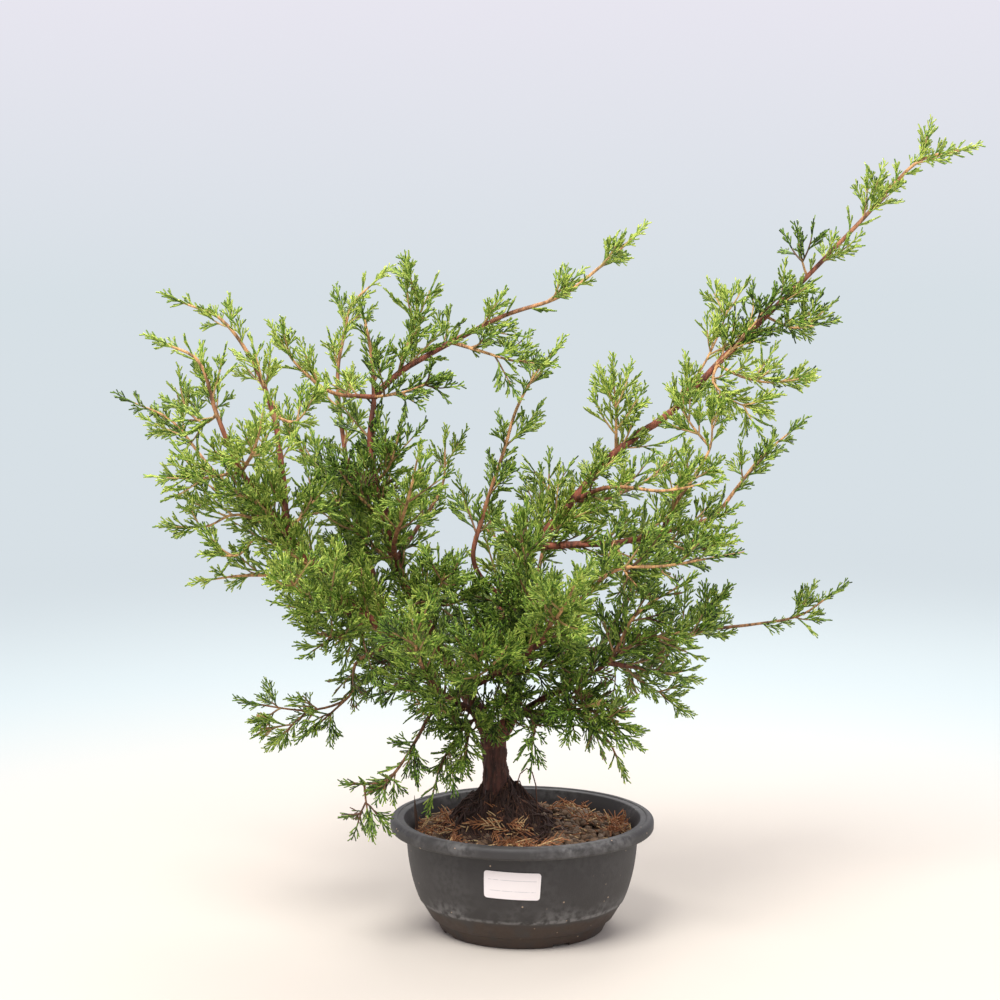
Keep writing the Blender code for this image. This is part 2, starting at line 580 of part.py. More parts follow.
# ---- label and stick ---------------------------------------------------------------------------
def make_label():
    """A thin sheet laid on the bellied wall, its corners cut off."""
    columns, rows = 10, 4
    bm = bmesh.new()
    bmesh.ops.create_grid(bm, x_segments=columns, y_segments=rows, size=0.5)
    tilt = Matrix.Rotation(math.radians(LABEL_TILT_DEG), 2)
    for vert in bm.verts:
        across, up = vert.co.x * LABEL_WIDTH, vert.co.y * LABEL_HEIGHT
        if abs(across) > 0.499 * LABEL_WIDTH and abs(up) > 0.499 * LABEL_HEIGHT:
            across -= math.copysign(LABEL_CORNER * 0.3, across)
            up -= math.copysign(LABEL_CORNER * 0.3, up)
        across, up = tilt @ Vector((across, up))
        height = LABEL_MIDDLE_HEIGHT + up
        radius = wall_radius(height) + CLEARANCE
        azimuth = math.radians(LABEL_AZIMUTH_DEG) + across / wall_radius(LABEL_MIDDLE_HEIGHT)
        vert.co = Vector((radius * math.cos(azimuth), radius * math.sin(azimuth), height))
    for face in bm.faces:
        face.normal_update()
        if face.normal.dot(face.calc_center_median()) < 0:
            face.normal_flip()
    sheet = bmesh.ops.extrude_face_region(bm, geom=list(bm.faces))
    for vert in [item for item in sheet["geom"] if isinstance(item, bmesh.types.BMVert)]:
        outward = Vector((vert.co.x, vert.co.y, 0.0)).normalized()
        vert.co += outward * LABEL_THICKNESS
    bmesh.ops.recalc_face_normals(bm, faces=bm.faces)
    to_object("label", bm, "label")


def stick_limb():
    azimuth = math.radians(STICK_AZIMUTH_DEG)
    at_soil = inner_radius(SOIL_LEVEL) - STICK_WALL_GAP
    top = at_soil + 1.5
    place = [(at_soil - 1.5, -STICK_BELOW), (at_soil, 0.0), (top, STICK_ABOVE)]
    knots = [Vector((r * math.cos(azimuth), r * math.sin(azimuth), SOIL_LEVEL + z)) for r, z in place]
    return Limb(knots, [STICK_RADIUS, STICK_RADIUS, STICK_RADIUS * 0.35])


def main():
    clear_scene()
    make_pot()
    limbs = grow_limbs(TREE_SCALE, LIMB_THICKNESS)
    roots = grow_roots(limbs["trunk"])
    make_wood(limbs, roots)
    make_root_ball(wood_cutters(limbs, roots))
    stick = stick_limb()
    to_object("stick", tube(stick), "stick")
    make_soil(as_guide(to_object("stick_hole_guide", tube(stick, CLEARANCE, CLEARANCE))))
    make_foliage(limbs)
    make_label()


main()
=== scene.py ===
"""Young juniper bonsai in a black plastic training pot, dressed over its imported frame.

Every length in the settings and in the tables is in millimetres unless its name says otherwise;
the objects are made in metres.
"""

import math
import random

import bmesh
import bpy
import numpy as np
from bpy.props import FloatProperty, FloatVectorProperty, IntProperty, PointerProperty
from mathutils import Matrix, Vector, kdtree, noise


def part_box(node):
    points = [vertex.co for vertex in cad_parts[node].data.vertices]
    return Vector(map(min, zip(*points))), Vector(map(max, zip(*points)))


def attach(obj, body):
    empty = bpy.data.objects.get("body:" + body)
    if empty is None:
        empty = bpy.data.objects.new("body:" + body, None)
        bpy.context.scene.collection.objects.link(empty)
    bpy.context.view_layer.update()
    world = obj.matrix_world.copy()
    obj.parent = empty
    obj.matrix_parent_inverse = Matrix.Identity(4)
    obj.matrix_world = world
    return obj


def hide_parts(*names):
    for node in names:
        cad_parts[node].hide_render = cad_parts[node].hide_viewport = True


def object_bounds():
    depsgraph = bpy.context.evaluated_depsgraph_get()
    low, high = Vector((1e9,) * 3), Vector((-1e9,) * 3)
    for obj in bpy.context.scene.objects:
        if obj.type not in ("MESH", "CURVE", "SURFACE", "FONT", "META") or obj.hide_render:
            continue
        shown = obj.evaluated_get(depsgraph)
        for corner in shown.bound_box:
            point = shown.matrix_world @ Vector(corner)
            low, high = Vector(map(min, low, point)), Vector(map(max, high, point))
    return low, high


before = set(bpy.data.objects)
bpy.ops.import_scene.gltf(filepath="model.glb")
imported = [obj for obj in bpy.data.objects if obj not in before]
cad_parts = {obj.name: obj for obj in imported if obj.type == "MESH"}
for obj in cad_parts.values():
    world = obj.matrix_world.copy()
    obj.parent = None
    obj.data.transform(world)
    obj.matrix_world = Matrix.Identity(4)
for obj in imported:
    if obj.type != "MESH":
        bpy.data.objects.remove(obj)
CAD_BOX = [list(corner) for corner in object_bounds()]

bl_info = {
    "name": "Potted Juniper Bonsai",
    "version": (1, 0, 0),
    "blender": (4, 5, 0),
    "location": "View3D > Sidebar > Bonsai",
    "description": "Builds a young juniper with its pot, soil, bark and scale-leaf shoots",
    "category": "Add Mesh",
}

MM = 0.001
UP = Vector((0.0, 0.0, 1.0))
POT_LOW, POT_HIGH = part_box("pot")
RIM_RADIUS = (POT_HIGH.x - POT_LOW.x) / 2 / MM
POT_HEIGHT = POT_HIGH.z / MM

# ---- the tree's routes -------------------------------------------------------------------------
# Millimetres from the pot's axis at soil level. A limb grows from the knot of its parent that
# comes second; its own knots follow, then its radius at the fork and at the tip.
SOIL_LEVEL = POT_HEIGHT - 10.0
TRUNK_ROUTE = [(-12, -2, -36), (-14, -3, 0), (-16, -5, 20), (-19, -5, 45), (-21, -5, 62), (-22, -5, 72)]
TRUNK_RADII = [11.9, 15.4, 11.0, 8.8, 9.0, 7.5]
ROOTS = {  # azimuth in degrees, reach, depth at the end, radius at the trunk
    "front_right": (-28, 40, -16, 6.5),
    "right": (12, 46, -12, 5.5),
    "back": (85, 40, -18, 5.0),
    "left": (172, 36, -16, 5.5),
    "front_left": (235, 34, -18, 5.0),
}
LIMBS = {
    "right_leader": ("trunk", 4, [(-7, 1, 82), (-6, 10, 118), (-14, 17, 162), (8, 20, 200), (37, 20, 234),
                                  (67, 20, 268), (106, 20, 297), (138, 20, 330), (172, 20, 364),
                                  (201, 20, 392), (242, 20, 435), (276, 20, 471), (306, 20, 480)], 5.2, 0.9),
    "centre_leader": ("trunk", 4, [(-30, -9, 84), (-42, -10, 104), (-58, -6, 130), (-74, 0, 160),
                                   (-90, 0, 192), (-95, 0, 220), (-103, 0, 248), (-107, 0, 278),
                                   (-104, 0, 308), (-106, 0, 340), (-110, -4, 362)], 6.4, 0.9),
    "left_leader": ("centre_leader", 3, [(-84, -20, 141), (-108, -32, 157), (-140, -48, 192),
                                         (-160, -60, 220), (-188, -76, 262), (-203, -82, 300),
                                         (-214, -84, 335), (-236, -84, 347)], 4.4, 0.8),
    "left_upright": ("left_leader", 4, [(-163, -59, 262), (-168, -58, 298), (-182, -56, 334),
                                        (-202, -56, 362), (-228, -59, 374)], 2.8, 0.7),
    "top_arm": ("centre_leader", 9, [(-86, 2, 325), (-50, 4, 346), (-12, 4, 365), (26, 4, 378),
                                     (56, 4, 400), (76, 4, 418)], 2.6, 0.7),
    "top_arm_spur": ("top_arm", 2, [(-28, -10, 340), (-8, -14, 334), (8, -14, 332)], 1.4, 0.6),
    "top_tuft": ("top_arm", 1, [(-78, 6, 352), (-74, 6, 372), (-78, 4, 390)], 1.5, 0.6),
    "middle_upright": ("right_leader", 3, [(-34, 4, 190), (-28, 2, 224), (-14, 0, 267), (-4, 0, 300),
                                           (9, 0, 324), (20, 0, 338)], 2.2, 0.6),
    "right_middle": ("right_leader", 4, [(34, 0, 204), (66, -6, 206), (97, -10, 214), (131, -12, 224),
                                         (150, -12, 246), (167, -12, 268), (186, -12, 284)], 3.0, 0.6),
    "right_upright": ("right_middle", 3, [(105, -14, 232), (119, -18, 254), (130, -18, 274),
                                          (131, -18, 296)], 1.8, 0.6),
    "front_right": ("centre_leader", 2, [(-22, -44, 118), (11, -70, 145), (40, -82, 178), (62, -90, 198),
                                         (93, -96, 201), (128, -102, 208)], 3.2, 0.6),
    "front_middle": ("front_right", 2, [(16, -100, 160), (24, -128, 176), (32, -150, 196)], 2.0, 0.6),
    "low_right": ("trunk", 5, [(4, -22, 92), (26, -40, 108), (57, -58, 130), (76, -66, 164),
                               (104, -72, 184)], 3.2, 0.6),
    "low_right_outer": ("low_right", 3, [(84, -50, 124), (108, -46, 118)], 2.0, 0.6),
    "low_right_hanging": ("right_leader", 1, [(14, -16, 88), (33, -28, 91), (47, -33, 85), (60, -35, 70),
                                              (66, -35, 58)], 2.2, 0.6),
    "back_right": ("right_leader", 2, [(22, 34, 122), (58, 54, 120), (99, 72, 116), (132, 81, 129),
                                       (172, 84, 134), (207, 86, 140), (232, 88, 156)], 3.0, 0.6),
    "back_right_upper": ("back_right", 2, [(78, 88, 150), (100, 108, 190), (118, 118, 226)], 2.2, 0.6),
    "back_middle": ("right_leader", 2, [(2, 50, 138), (12, 92, 168), (20, 120, 206), (22, 134, 246)], 3.0, 0.6),
    "back_low": ("back_middle", 1, [(-8, 92, 126), (-14, 128, 128), (-18, 156, 140)], 2.0, 0.6),
    "back_left": ("centre_leader", 3, [(-66, 24, 134), (-98, 52, 142), (-150, 78, 172), (-196, 98, 212),
                                       (-234, 108, 250), (-262, 110, 284), (-292, 110, 299)], 3.4, 0.6),
    "back_left_low": ("back_left", 2, [(-112, 92, 130), (-132, 124, 142), (-146, 148, 160)], 2.0, 0.6),
    "back_upright": ("back_left", 2, [(-116, 74, 196), (-130, 92, 256), (-137, 102, 313), (-133, 108, 346),
                                      (-126, 110, 372), (-108, 110, 390)], 2.6, 0.6),
    "back_centre": ("centre_leader", 5, [(-74, 34, 214), (-58, 60, 240), (-56, 70, 268)], 2.2, 0.6),
    "left_back_spray": ("centre_leader", 6, [(-126, 24, 238), (-158, 40, 266), (-182, 46, 306)], 2.2, 0.6),
    "left_outer_low": ("left_leader", 3, [(-168, -40, 188), (-194, -46, 188), (-212, -50, 186)], 1.8, 0.6),
    "left_hanging": ("left_leader", 1, [(-104, -22, 131), (-117, -20, 122), (-122, -14, 98),
                                        (-150, -12, 88), (-188, -10, 92)], 1.6, 0.6),
    "front_left": ("left_leader", 2, [(-124, -66, 166), (-144, -104, 182), (-156, -134, 204)], 2.4, 0.6),
    "front_left_upper": ("left_leader", 5, [(-176, -112, 278), (-168, -136, 296)], 1.6, 0.6),
    "front_centre": ("centre_leader", 1, [(-42, -46, 98), (-58, -88, 118), (-68, -126, 144),
                                          (-72, -150, 174)], 3.0, 0.6),
    "front_centre_high": ("centre_leader", 5, [(-88, -36, 212), (-78, -72, 240), (-70, -96, 272)], 2.4, 0.6),
    "low_front_hanging": ("centre_leader", 2, [(-62, -34, 92), (-76, -50, 70), (-92, -62, 50),
                                               (-108, -68, 48)], 1.8, 0.6),
    "leader_side_left": ("centre_leader", 9, [(-132, -18, 312), (-154, -28, 330),
                                              (-166, -32, 348)], 1.8, 0.6),
    "right_arm_low": ("right_leader", 5, [(62, -14, 246), (94, -44, 246), (122, -56, 252)], 2.0, 0.6),
    "right_arm_back": ("right_leader", 5, [(60, 48, 232), (92, 78, 242), (116, 92, 262)], 2.2, 0.6),
}
# Lesser side shoots, dressed with their parent's leaves: the same form as a limb, but with one
# radius at every tip.
SPURS = {
    "arm_spur": ("right_leader", 6, [(66, 12, 296), (64, 8, 322)], 1.3),
    "arm_tuft": ("right_leader", 7, [(128, 26, 328), (141, 30, 354), (148, 32, 374)], 1.2),
    "arm_under": ("right_leader", 8, [(154, 8, 322), (174, 0, 318), (190, -4, 322)], 1.2),
    "arm_side": ("right_leader", 9, [(190, 12, 356), (206, 8, 358)], 1.1),
    "arm_upper_tuft": ("right_leader", 8, [(158, 14, 352), (172, 8, 372)], 1.1),
    "arm_top_tuft": ("right_leader", 10, [(197, 16, 402), (194, 12, 415)], 1.0),
    "leader_side": ("centre_leader", 9, [(-84, -24, 312), (-62, -34, 320)], 1.2),
    "leader_front": ("centre_leader", 7, [(-92, -26, 262), (-84, -46, 286)], 1.3),
    "left_fan": ("left_hanging", 3, [(-136, -20, 86), (-146, -22, 78)], 1.0),
    "left_drop": ("left_hanging", 4, [(-160, -16, 80), (-168, -18, 72)], 0.9),
    "front_drop": ("low_front_hanging", 4, [(-107, -70, 38), (-105, -72, 26)], 0.9),
    "trunk_spray": ("centre_leader", 1, [(-44, -24, 74), (-56, -36, 56), (-62, -42, 36)], 1.2),
    "front_inner": ("centre_leader", 4, [(-70, -36, 168), (-58, -66, 180), (-52, -92, 196)], 1.8),
    "centre_fill": ("right_leader", 3, [(-8, -18, 164), (-8, -50, 166), (-8, -78, 174)], 1.6),
    "right_fill": ("right_middle", 2, [(70, -36, 190), (84, -62, 176)], 1.2),
    "left_outer_mid": ("left_leader", 5, [(-212, -80, 258), (-228, -76, 258)], 1.3),
    "left_outer_side": ("left_leader", 4, [(-192, -66, 232), (-212, -60, 224), (-226, -58, 222)], 1.3),
    "left_edge": ("left_leader", 6, [(-214, -70, 294), (-226, -64, 302), (-233, -60, 305)], 1.2),
    "left_edge_low": ("left_leader", 3, [(-176, -66, 216), (-190, -74, 206), (-202, -80, 206)], 1.3),
    "left_edge_mid": ("left_leader", 4, [(-182, -78, 244), (-198, -90, 248), (-210, -94, 256)], 1.3),
    "left_inner": ("left_leader", 4, [(-148, -58, 232), (-136, -54, 248)], 1.3),
    "leader_right_low": ("centre_leader", 4, [(-60, -24, 164), (-46, -36, 168), (-34, -44, 178)], 1.5),
    "upright_side": ("left_upright", 2, [(-154, -54, 294), (-142, -48, 308)], 1.2),
    "fork_mid": ("front_right", 1, [(0, -48, 122), (14, -54, 126), (28, -60, 132)], 1.4),
    "upright_end": ("right_upright", 3, [(118, -16, 288), (108, -12, 304)], 1.1),
    "middle_under": ("right_middle", 3, [(106, -26, 206), (120, -36, 204), (134, -42, 208)], 1.2),
    "right_back_mid": ("back_right", 3, [(112, 56, 130), (130, 46, 146), (142, 42, 158)], 1.3),
    "leader_left_mid": ("centre_leader", 5, [(-112, -14, 210), (-128, -18, 234), (-136, -20, 252)], 1.4),
    "leader_left_front": ("centre_leader", 6, [(-112, -30, 240), (-126, -48, 262)], 1.3),
    "fork_low_front": ("centre_leader", 1, [(-22, -34, 98), (-12, -58, 106), (-8, -80, 110)], 1.5),
    "fork_top_front": ("right_leader", 2, [(-14, -16, 130), (-20, -44, 140), (-22, -64, 150)], 1.6),
    "arm_drop": ("right_leader", 8, [(134, 6, 318), (146, -2, 306), (160, -6, 300)], 1.2),
    "fork_front_left": ("centre_leader", 1, [(-36, -30, 82), (-38, -52, 74), (-40, -68, 64)], 1.4),
    "fork_front": ("low_right", 1, [(6, -44, 90), (8, -64, 84), (6, -82, 82)], 1.4),
    "fork_front_right": ("low_right", 2, [(36, -56, 104), (52, -74, 96), (66, -84, 92)], 1.4),
    "middle_front": ("front_right", 1, [(-22, -70, 126), (-30, -96, 138), (-34, -118, 152)], 1.6),
    "middle_high": ("front_right", 2, [(8, -62, 168), (2, -58, 196), (-2, -60, 222)], 1.4),
    "right_low_mid": ("low_right", 3, [(84, -62, 148), (104, -64, 146), (122, -62, 152)], 1.4),
    "right_back_low": ("back_right", 2, [(74, 40, 108), (92, 26, 98), (104, 16, 92)], 1.4),
    "back_skirt": ("back_middle", 1, [(26, 66, 120), (40, 84, 112), (52, 96, 110)], 1.4),
    "left_skirt": ("centre_leader", 3, [(-70, -36, 118), (-80, -54, 118), (-88, -66, 122)], 1.4),
    "left_skirt_back": ("back_left", 1, [(-84, 24, 122), (-100, 18, 112), (-116, 12, 108)], 1.4),
    "left_mid": ("left_leader", 2, [(-116, -54, 150), (-128, -74, 150), (-140, -88, 156)], 1.4),
    "low_fill": ("low_right", 2, [(34, -66, 100), (44, -88, 106)], 1.2),
    "left_fill": ("left_leader", 2, [(-112, -14, 180), (-122, 6, 206)], 1.3),
    "back_fill": ("back_middle", 2, [(-12, 104, 190), (-38, 118, 214)], 1.2),
    "back_fill_low": ("back_left", 1, [(-60, 74, 124), (-70, 104, 128)], 1.3),
}
SPUR_TIP = 0.5
# Bare wood between the fork and the first leaves, where it isn't the default.
BARE = {"right_leader": 110, "centre_leader": 75, "left_leader": 36, "top_arm": 22, "middle_upright": 55,
        "front_right": 34, "low_right": 22, "back_right": 40, "back_middle": 30, "back_left": 40,
        "back_upright": 40, "front_centre": 24, "left_hanging": 40, "low_front_hanging": 20, "left_edge": 3}
BARE_DEFAULT = 12
# Share of the usual shoots on limbs that are thinly dressed.
THIN = {"left_hanging": 0.42, "low_front_hanging": 0.55, "low_right_hanging": 0.36, "left_fan": 0.5,
        "left_drop": 0.5, "back_centre": 0.28, "left_outer_low": 0.5, "back_right": 0.62, "back_middle": 0.8,
        "front_centre_high": 0.45, "right_arm_low": 0.55, "right_arm_back": 0.5, "left_upright": 0.8,
        "middle_upright": 0.75, "back_fill": 0.5, "leader_side_left": 0.6, "upright_end": 0.5,
        "right_upright": 0.8, "arm_side": 0.7, "arm_upper_tuft": 0.7, "leader_front": 0.6, "front_inner": 0.8}
# Limbs whose shoots hang down.
HANGING = {"left_hanging", "front_drop", "low_front_hanging", "low_right_hanging", "left_fan", "left_drop",
           "trunk_spray"}


# ---- settings ----------------------------------------------------------------------------------
def clamp(value):
    return min(1.0, max(0.0, value))


def size(name, value, description):
    return FloatProperty(name=name, description=description, default=value, min=0.0)


def colour(name, value, description):
    return FloatVectorProperty(name=name, description=description, default=value, size=3, min=0.0, max=1.0,
                               subtype="COLOR")


class PotSettings(bpy.types.PropertyGroup):
    mouth_radius: size("Mouth radius", RIM_RADIUS - 10.0, "Inner edge of the lip")
    lip_height: size("Lip height", 8.5, "Height of the rolled lip")
    body_radius: size("Body radius", RIM_RADIUS - 11.5, "Outside of the wall under the lip")
    shoulder_radius: size("Shoulder radius", 64.0, "Outside of the wall where it meets the foot")
    foot_radius: size("Foot radius", 58.7, "Outer edge of the standing face")
    foot_height: size("Foot height", 9.0, "Height of the stepped foot")
    crease_height: size("Crease height", 21.5, "Where the wall bends in toward the foot")
    wall: size("Wall", 2.2, "Thickness of the wall")
    floor: size("Floor", 4.0, "Thickness of the floor")
    plastic: colour("Plastic", (0.027, 0.0245, 0.0235), "Moulded charcoal plastic")
    dust: colour("Dust", (0.17, 0.165, 0.16), "Dry scuffs and dust")
    stain: colour("Stain", (0.048, 0.029, 0.019), "Soil dried on the foot")


class SoilSettings(bpy.types.PropertyGroup):
    grains: IntProperty(name="Grains", description="Mineral grains on top", default=1500, min=0)
    needles: IntProperty(name="Dead sprays", description="Fallen dry sprays", default=120, min=0)
    fibres: IntProperty(name="Root fibres", description="Fine roots on the mound", default=900, min=0)
    dark: colour("Dark soil", (0.030, 0.018, 0.011), "Soil between the grains")
    clay: colour("Clay", (0.19, 0.115, 0.065), "Fired clay grains")
    rust: colour("Dead needles", (0.50, 0.205, 0.080), "Dry juniper sprays")
    straw: colour("Straw", (0.62, 0.42, 0.20), "Bleached dry needles")


class WoodSettings(bpy.types.PropertyGroup):
    voxel: size("Bark grid", 0.85, "Edge of a bark face on the thick wood")
    old_bark: colour("Old bark", (0.078, 0.025, 0.015), "Trunk and thick limbs")
    red_bark: colour("Red bark", (0.24, 0.070, 0.036), "Limbs a few years old")
    young_bark: colour("Young bark", (0.58, 0.32, 0.13), "Last year's stems")


class LeafSettings(bpy.types.PropertyGroup):
    shoot_spacing: size("Shoot spacing", 23.0, "Along a limb, between clusters of shoots in the full crown")
    spray_spacing: size("Spray spacing", 5.6, "Along a stem, between sprays")
    twig_radius: size("Twig radius", 0.64, "A leafy cord's radius")
    deep: colour("Deep green", (0.0075, 0.021, 0.0018), "Old leaves in the shade")
    green: colour("Green", (0.128, 0.248, 0.016), "Grown leaves")
    # Also the painted light on the most lit sprays, besides the colour of growing tips.
    fresh_and_lit: colour("Fresh green", (0.56, 0.64, 0.12), "Growing tips")


class LabelSettings(bpy.types.PropertyGroup):
    width: size("Width", 39.5, "Across the wall")
    height: size("Height", 19.5, "Up the wall")
    corner: size("Corner radius", 2.2, "Rounding of the corners")
    paper: colour("Paper", (0.84, 0.78, 0.765), "Uncoated label paper")


class StageSettings(bpy.types.PropertyGroup):
    camera_distance: size("Camera distance", 1500.0, "From the pot's axis")
    camera_height: size("Camera height", 450.0, "Above the standing surface")
    camera_side: FloatProperty(name="Camera side", description="Offset along X", default=-15.75)
    camera_pitch: size("Camera pitch", 5.5, "Degrees below the horizon")
    lens: size("Lens", 77.15, "Focal length on a 36 mm sensor")
    ground: colour("Ground", (0.555, 0.51, 0.45), "Studio table")
    middle: colour("Middle distance", (0.465, 0.53, 0.53), "Floor half way to the haze")
    haze: colour("Haze", (0.68, 0.745, 0.79), "Studio haze at eye level")
    sky: colour("Sky", (0.83, 0.80, 0.885), "Studio haze overhead")


# ---- shader expressions ------------------------------------------------------------------------
class Value:
    """A shader socket or number on which Python's operators add Math nodes."""

    def __init__(self, paint, socket):
        self.paint = paint
        self.socket = socket

    def maths(self, operation, *others, clamp=False):
        settings = {"operation": operation, "use_clamp": clamp}
        return self.paint.add("ShaderNodeMath", settings, {i: v for i, v in enumerate((self, *others))})

    def __add__(self, other):
        return self.maths("ADD", other)

    def __sub__(self, other):
        return self.maths("SUBTRACT", other)

    def __rsub__(self, other):
        return self.paint.add("ShaderNodeMath", {"operation": "SUBTRACT"}, {0: other, 1: self})

    def __mul__(self, other):
        return self.maths("MULTIPLY", other)

    def __pow__(self, other):
        return self.maths("POWER", other)

    __radd__ = __add__
    __rmul__ = __mul__

    def clamped(self):
        return self.maths("ADD", 0.0, clamp=True)

    def step(self, low, high):
        """0 below low, 1 above high, smooth between."""
        settings = {"interpolation_type": "SMOOTHSTEP"}
        return self.paint.add("ShaderNodeMapRange", settings,
                              {"Value": self, "From Min": low, "From Max": high})


class Paint:
    """A new material, and the few kinds of nodes that its finish is written with."""

    def __init__(self, name, roughness=0.6):
        self.material = bpy.data.materials.new(name)
        self.material.use_nodes = True
        self.nodes = self.material.node_tree.nodes
        self.links = self.material.node_tree.links
        self.shader = self.nodes["Principled BSDF"]
        self.shader.inputs["Roughness"].default_value = roughness
        self.object_place = Value(self, self.nodes.new("ShaderNodeTexCoord").outputs["Object"])

    def put(self, socket, value):
        if isinstance(value, Value):
            self.links.new(value.socket, socket)
        elif hasattr(socket.default_value, "__len__") and len(value) < len(socket.default_value):
            socket.default_value = (*value, 1.0)
        else:
            socket.default_value = value

    def add(self, kind, settings=None, sockets=None, output=0):
        """A node of a kind: its settings first, then the values or links of its sockets."""
        node = self.nodes.new(kind)
        for key, value in (settings or {}).items():
            setattr(node, key, value)
        for key, value in (sockets or {}).items():
            self.put(node.inputs[key], value)
        return Value(self, node.outputs[output])

    def stretched(self, scale, place=None):
        """Coordinates scaled by three numbers."""
        return self.add("ShaderNodeMapping", None, {"Vector": place or self.object_place, "Scale": scale})

    def noise(self, scale, detail=3.0, place=None, roughness=0.5):
        sockets = {"Vector": place or self.object_place, "Scale": scale, "Detail": detail,
                   "Roughness": roughness}
        return self.add("ShaderNodeTexNoise", None, sockets)

    def cells(self, scale, place=None):
        return self.add("ShaderNodeTexVoronoi", None, {"Vector": place or self.object_place, "Scale": scale})

    def mix(self, share, first, second, blend="MIX"):
        settings = {"data_type": "RGBA", "blend_type": blend}
        return self.add("ShaderNodeMix", settings, {0: share, 6: first, 7: second}, 2)

    def axes(self, place=None):
        """The X, Y and Z of a place."""
        node = self.nodes.new("ShaderNodeSeparateXYZ")
        self.put(node.inputs[0], place or self.object_place)
        return [Value(self, output) for output in node.outputs]

    def attribute(self, name):
        return self.add("ShaderNodeAttribute", {"attribute_name": name}, None, 2)

    def map_axes(self, name):
        """The U and V of a piece's own map."""
        place = self.add("ShaderNodeUVMap", {"uv_map": name})
        return self.axes(place)[:2]

    def finish(self, colour=None, roughness=None, height=None, relief=0.0003, strength=1.0):
        if colour is not None:
            self.put(self.shader.inputs["Base Color"], colour)
        if roughness is not None:
            self.put(self.shader.inputs["Roughness"], roughness)
        if height is not None:
            bump = self.add("ShaderNodeBump", None,
                            {"Strength": strength, "Distance": relief, "Height": height})
            self.put(self.shader.inputs["Normal"], bump)
        return self.material


def pot_plastic(s):
    p = Paint("pot_plastic", 0.6)
    z = p.axes()[2]
    blotches = p.noise(28.0, 4.0)
    fine = p.noise(240.0, 4.0)
    rim = z.step((POT_HEIGHT - 12.0) * MM, (POT_HEIGHT - 2.0) * MM)
    shoulder = z.step(0.020, 0.023) * (1.0 - z.step(0.024, 0.036))
    scuffs = (rim * 0.55 + shoulder * 0.65 + 0.11) * blotches.step(0.38, 0.68) * fine.step(0.30, 0.66)
    wavy = z + 0.0016 * blotches
    crease = wavy.step(0.0212, 0.0225) * (1.0 - wavy.step(0.0232, 0.0252))
    scuffs = scuffs + crease * fine.step(0.34, 0.58) * 0.75
    base = p.mix(fine.step(0.25, 0.75) * 0.5, s.plastic, [c * 1.45 for c in s.plastic])
    dusty = p.mix(scuffs.clamped(), base, s.dust)
    patchy = 0.35 + 0.65 * p.noise(80.0, 5.0).step(0.30, 0.55)
    foot = (1.0 - (z + 0.009 * blotches).step(0.0215, 0.0270)) * patchy
    stained = p.mix(foot * 0.92, dusty, s.stain)
    specks = (1.0 - p.cells(150.0).step(0.075, 0.12)) * p.noise(55.0, 1.0).step(0.52, 0.60)
    pits = 1.0 - p.cells(120.0, p.stretched((1.3, 0.8, 1.1))).step(0.06, 0.10)
    pits = pits * p.noise(40.0, 1.0).step(0.5, 0.6)
    pitted = p.mix(pits * 0.7, stained, (0.03, 0.012, 0.007))
    crumbs = p.mix(specks * 0.8, pitted, (0.50, 0.36, 0.24))
    rough = 0.50 + 0.22 * fine + 0.16 * scuffs
    return p.finish(crumbs, rough.clamped(), p.noise(900.0, 3.0) + specks * 1.6, 0.00018, 0.55)


def dark_soil(s):
    p = Paint("dark_soil", 0.95)
    lumps = p.noise(170.0, 5.0)
    tone = p.mix(lumps.step(0.35, 0.72), s.dark, [c * 3.2 for c in s.dark])
    return p.finish(tone, 0.95, lumps + p.noise(700.0, 3.0) * 0.5, 0.0012)


def grain_clay(s):
    p = Paint("grain_clay", 0.9)
    tone = p.attribute("tone")
    fine = p.noise(420.0, 5.0)
    grey = p.mix(tone.step(0.75, 0.98), s.clay, (0.21, 0.155, 0.11))
    dark = p.mix(tone.step(0.0, 0.45), [c * 0.35 for c in s.clay], grey)
    return p.finish(p.mix(fine.step(0.3, 0.7) * 0.55, dark, [c * 0.42 for c in s.clay]), 0.92, fine, 0.0007)


def dead_needle(s):
    p = Paint("dead_needle", 0.75)
    along, tone = p.map_axes("OFBake")
    rust = p.mix(along.step(0.2, 1.0) * 0.6, [c * 0.55 for c in s.rust], s.rust)
    dry = p.mix(tone.step(0.60, 0.72), rust, s.straw)
    return p.finish(p.mix(tone.step(0.955, 0.965), dry, (0.14, 0.27, 0.05)), 0.72)


def root_fibre():
    p = Paint("root_fibre", 0.85)
    along, tone = p.map_axes("OFBake")
    lit = p.mix(tone.step(0.72, 1.0), (0.050, 0.022, 0.014), (0.20, 0.085, 0.045))
    return p.finish(p.mix(along.step(0.0, 0.6) * 0.5, lit, (0.028, 0.014, 0.009)), 0.82)


def root_mat():
    p = Paint("root_mat", 0.95)
    strands = p.noise(95.0, 6.0, p.stretched((4.0, 4.0, 1.2)), 0.6)
    tone = p.mix(strands.step(0.44, 0.70), (0.011, 0.0065, 0.005), (0.085, 0.036, 0.022))
    return p.finish(tone, 0.95, strands, 0.0028)


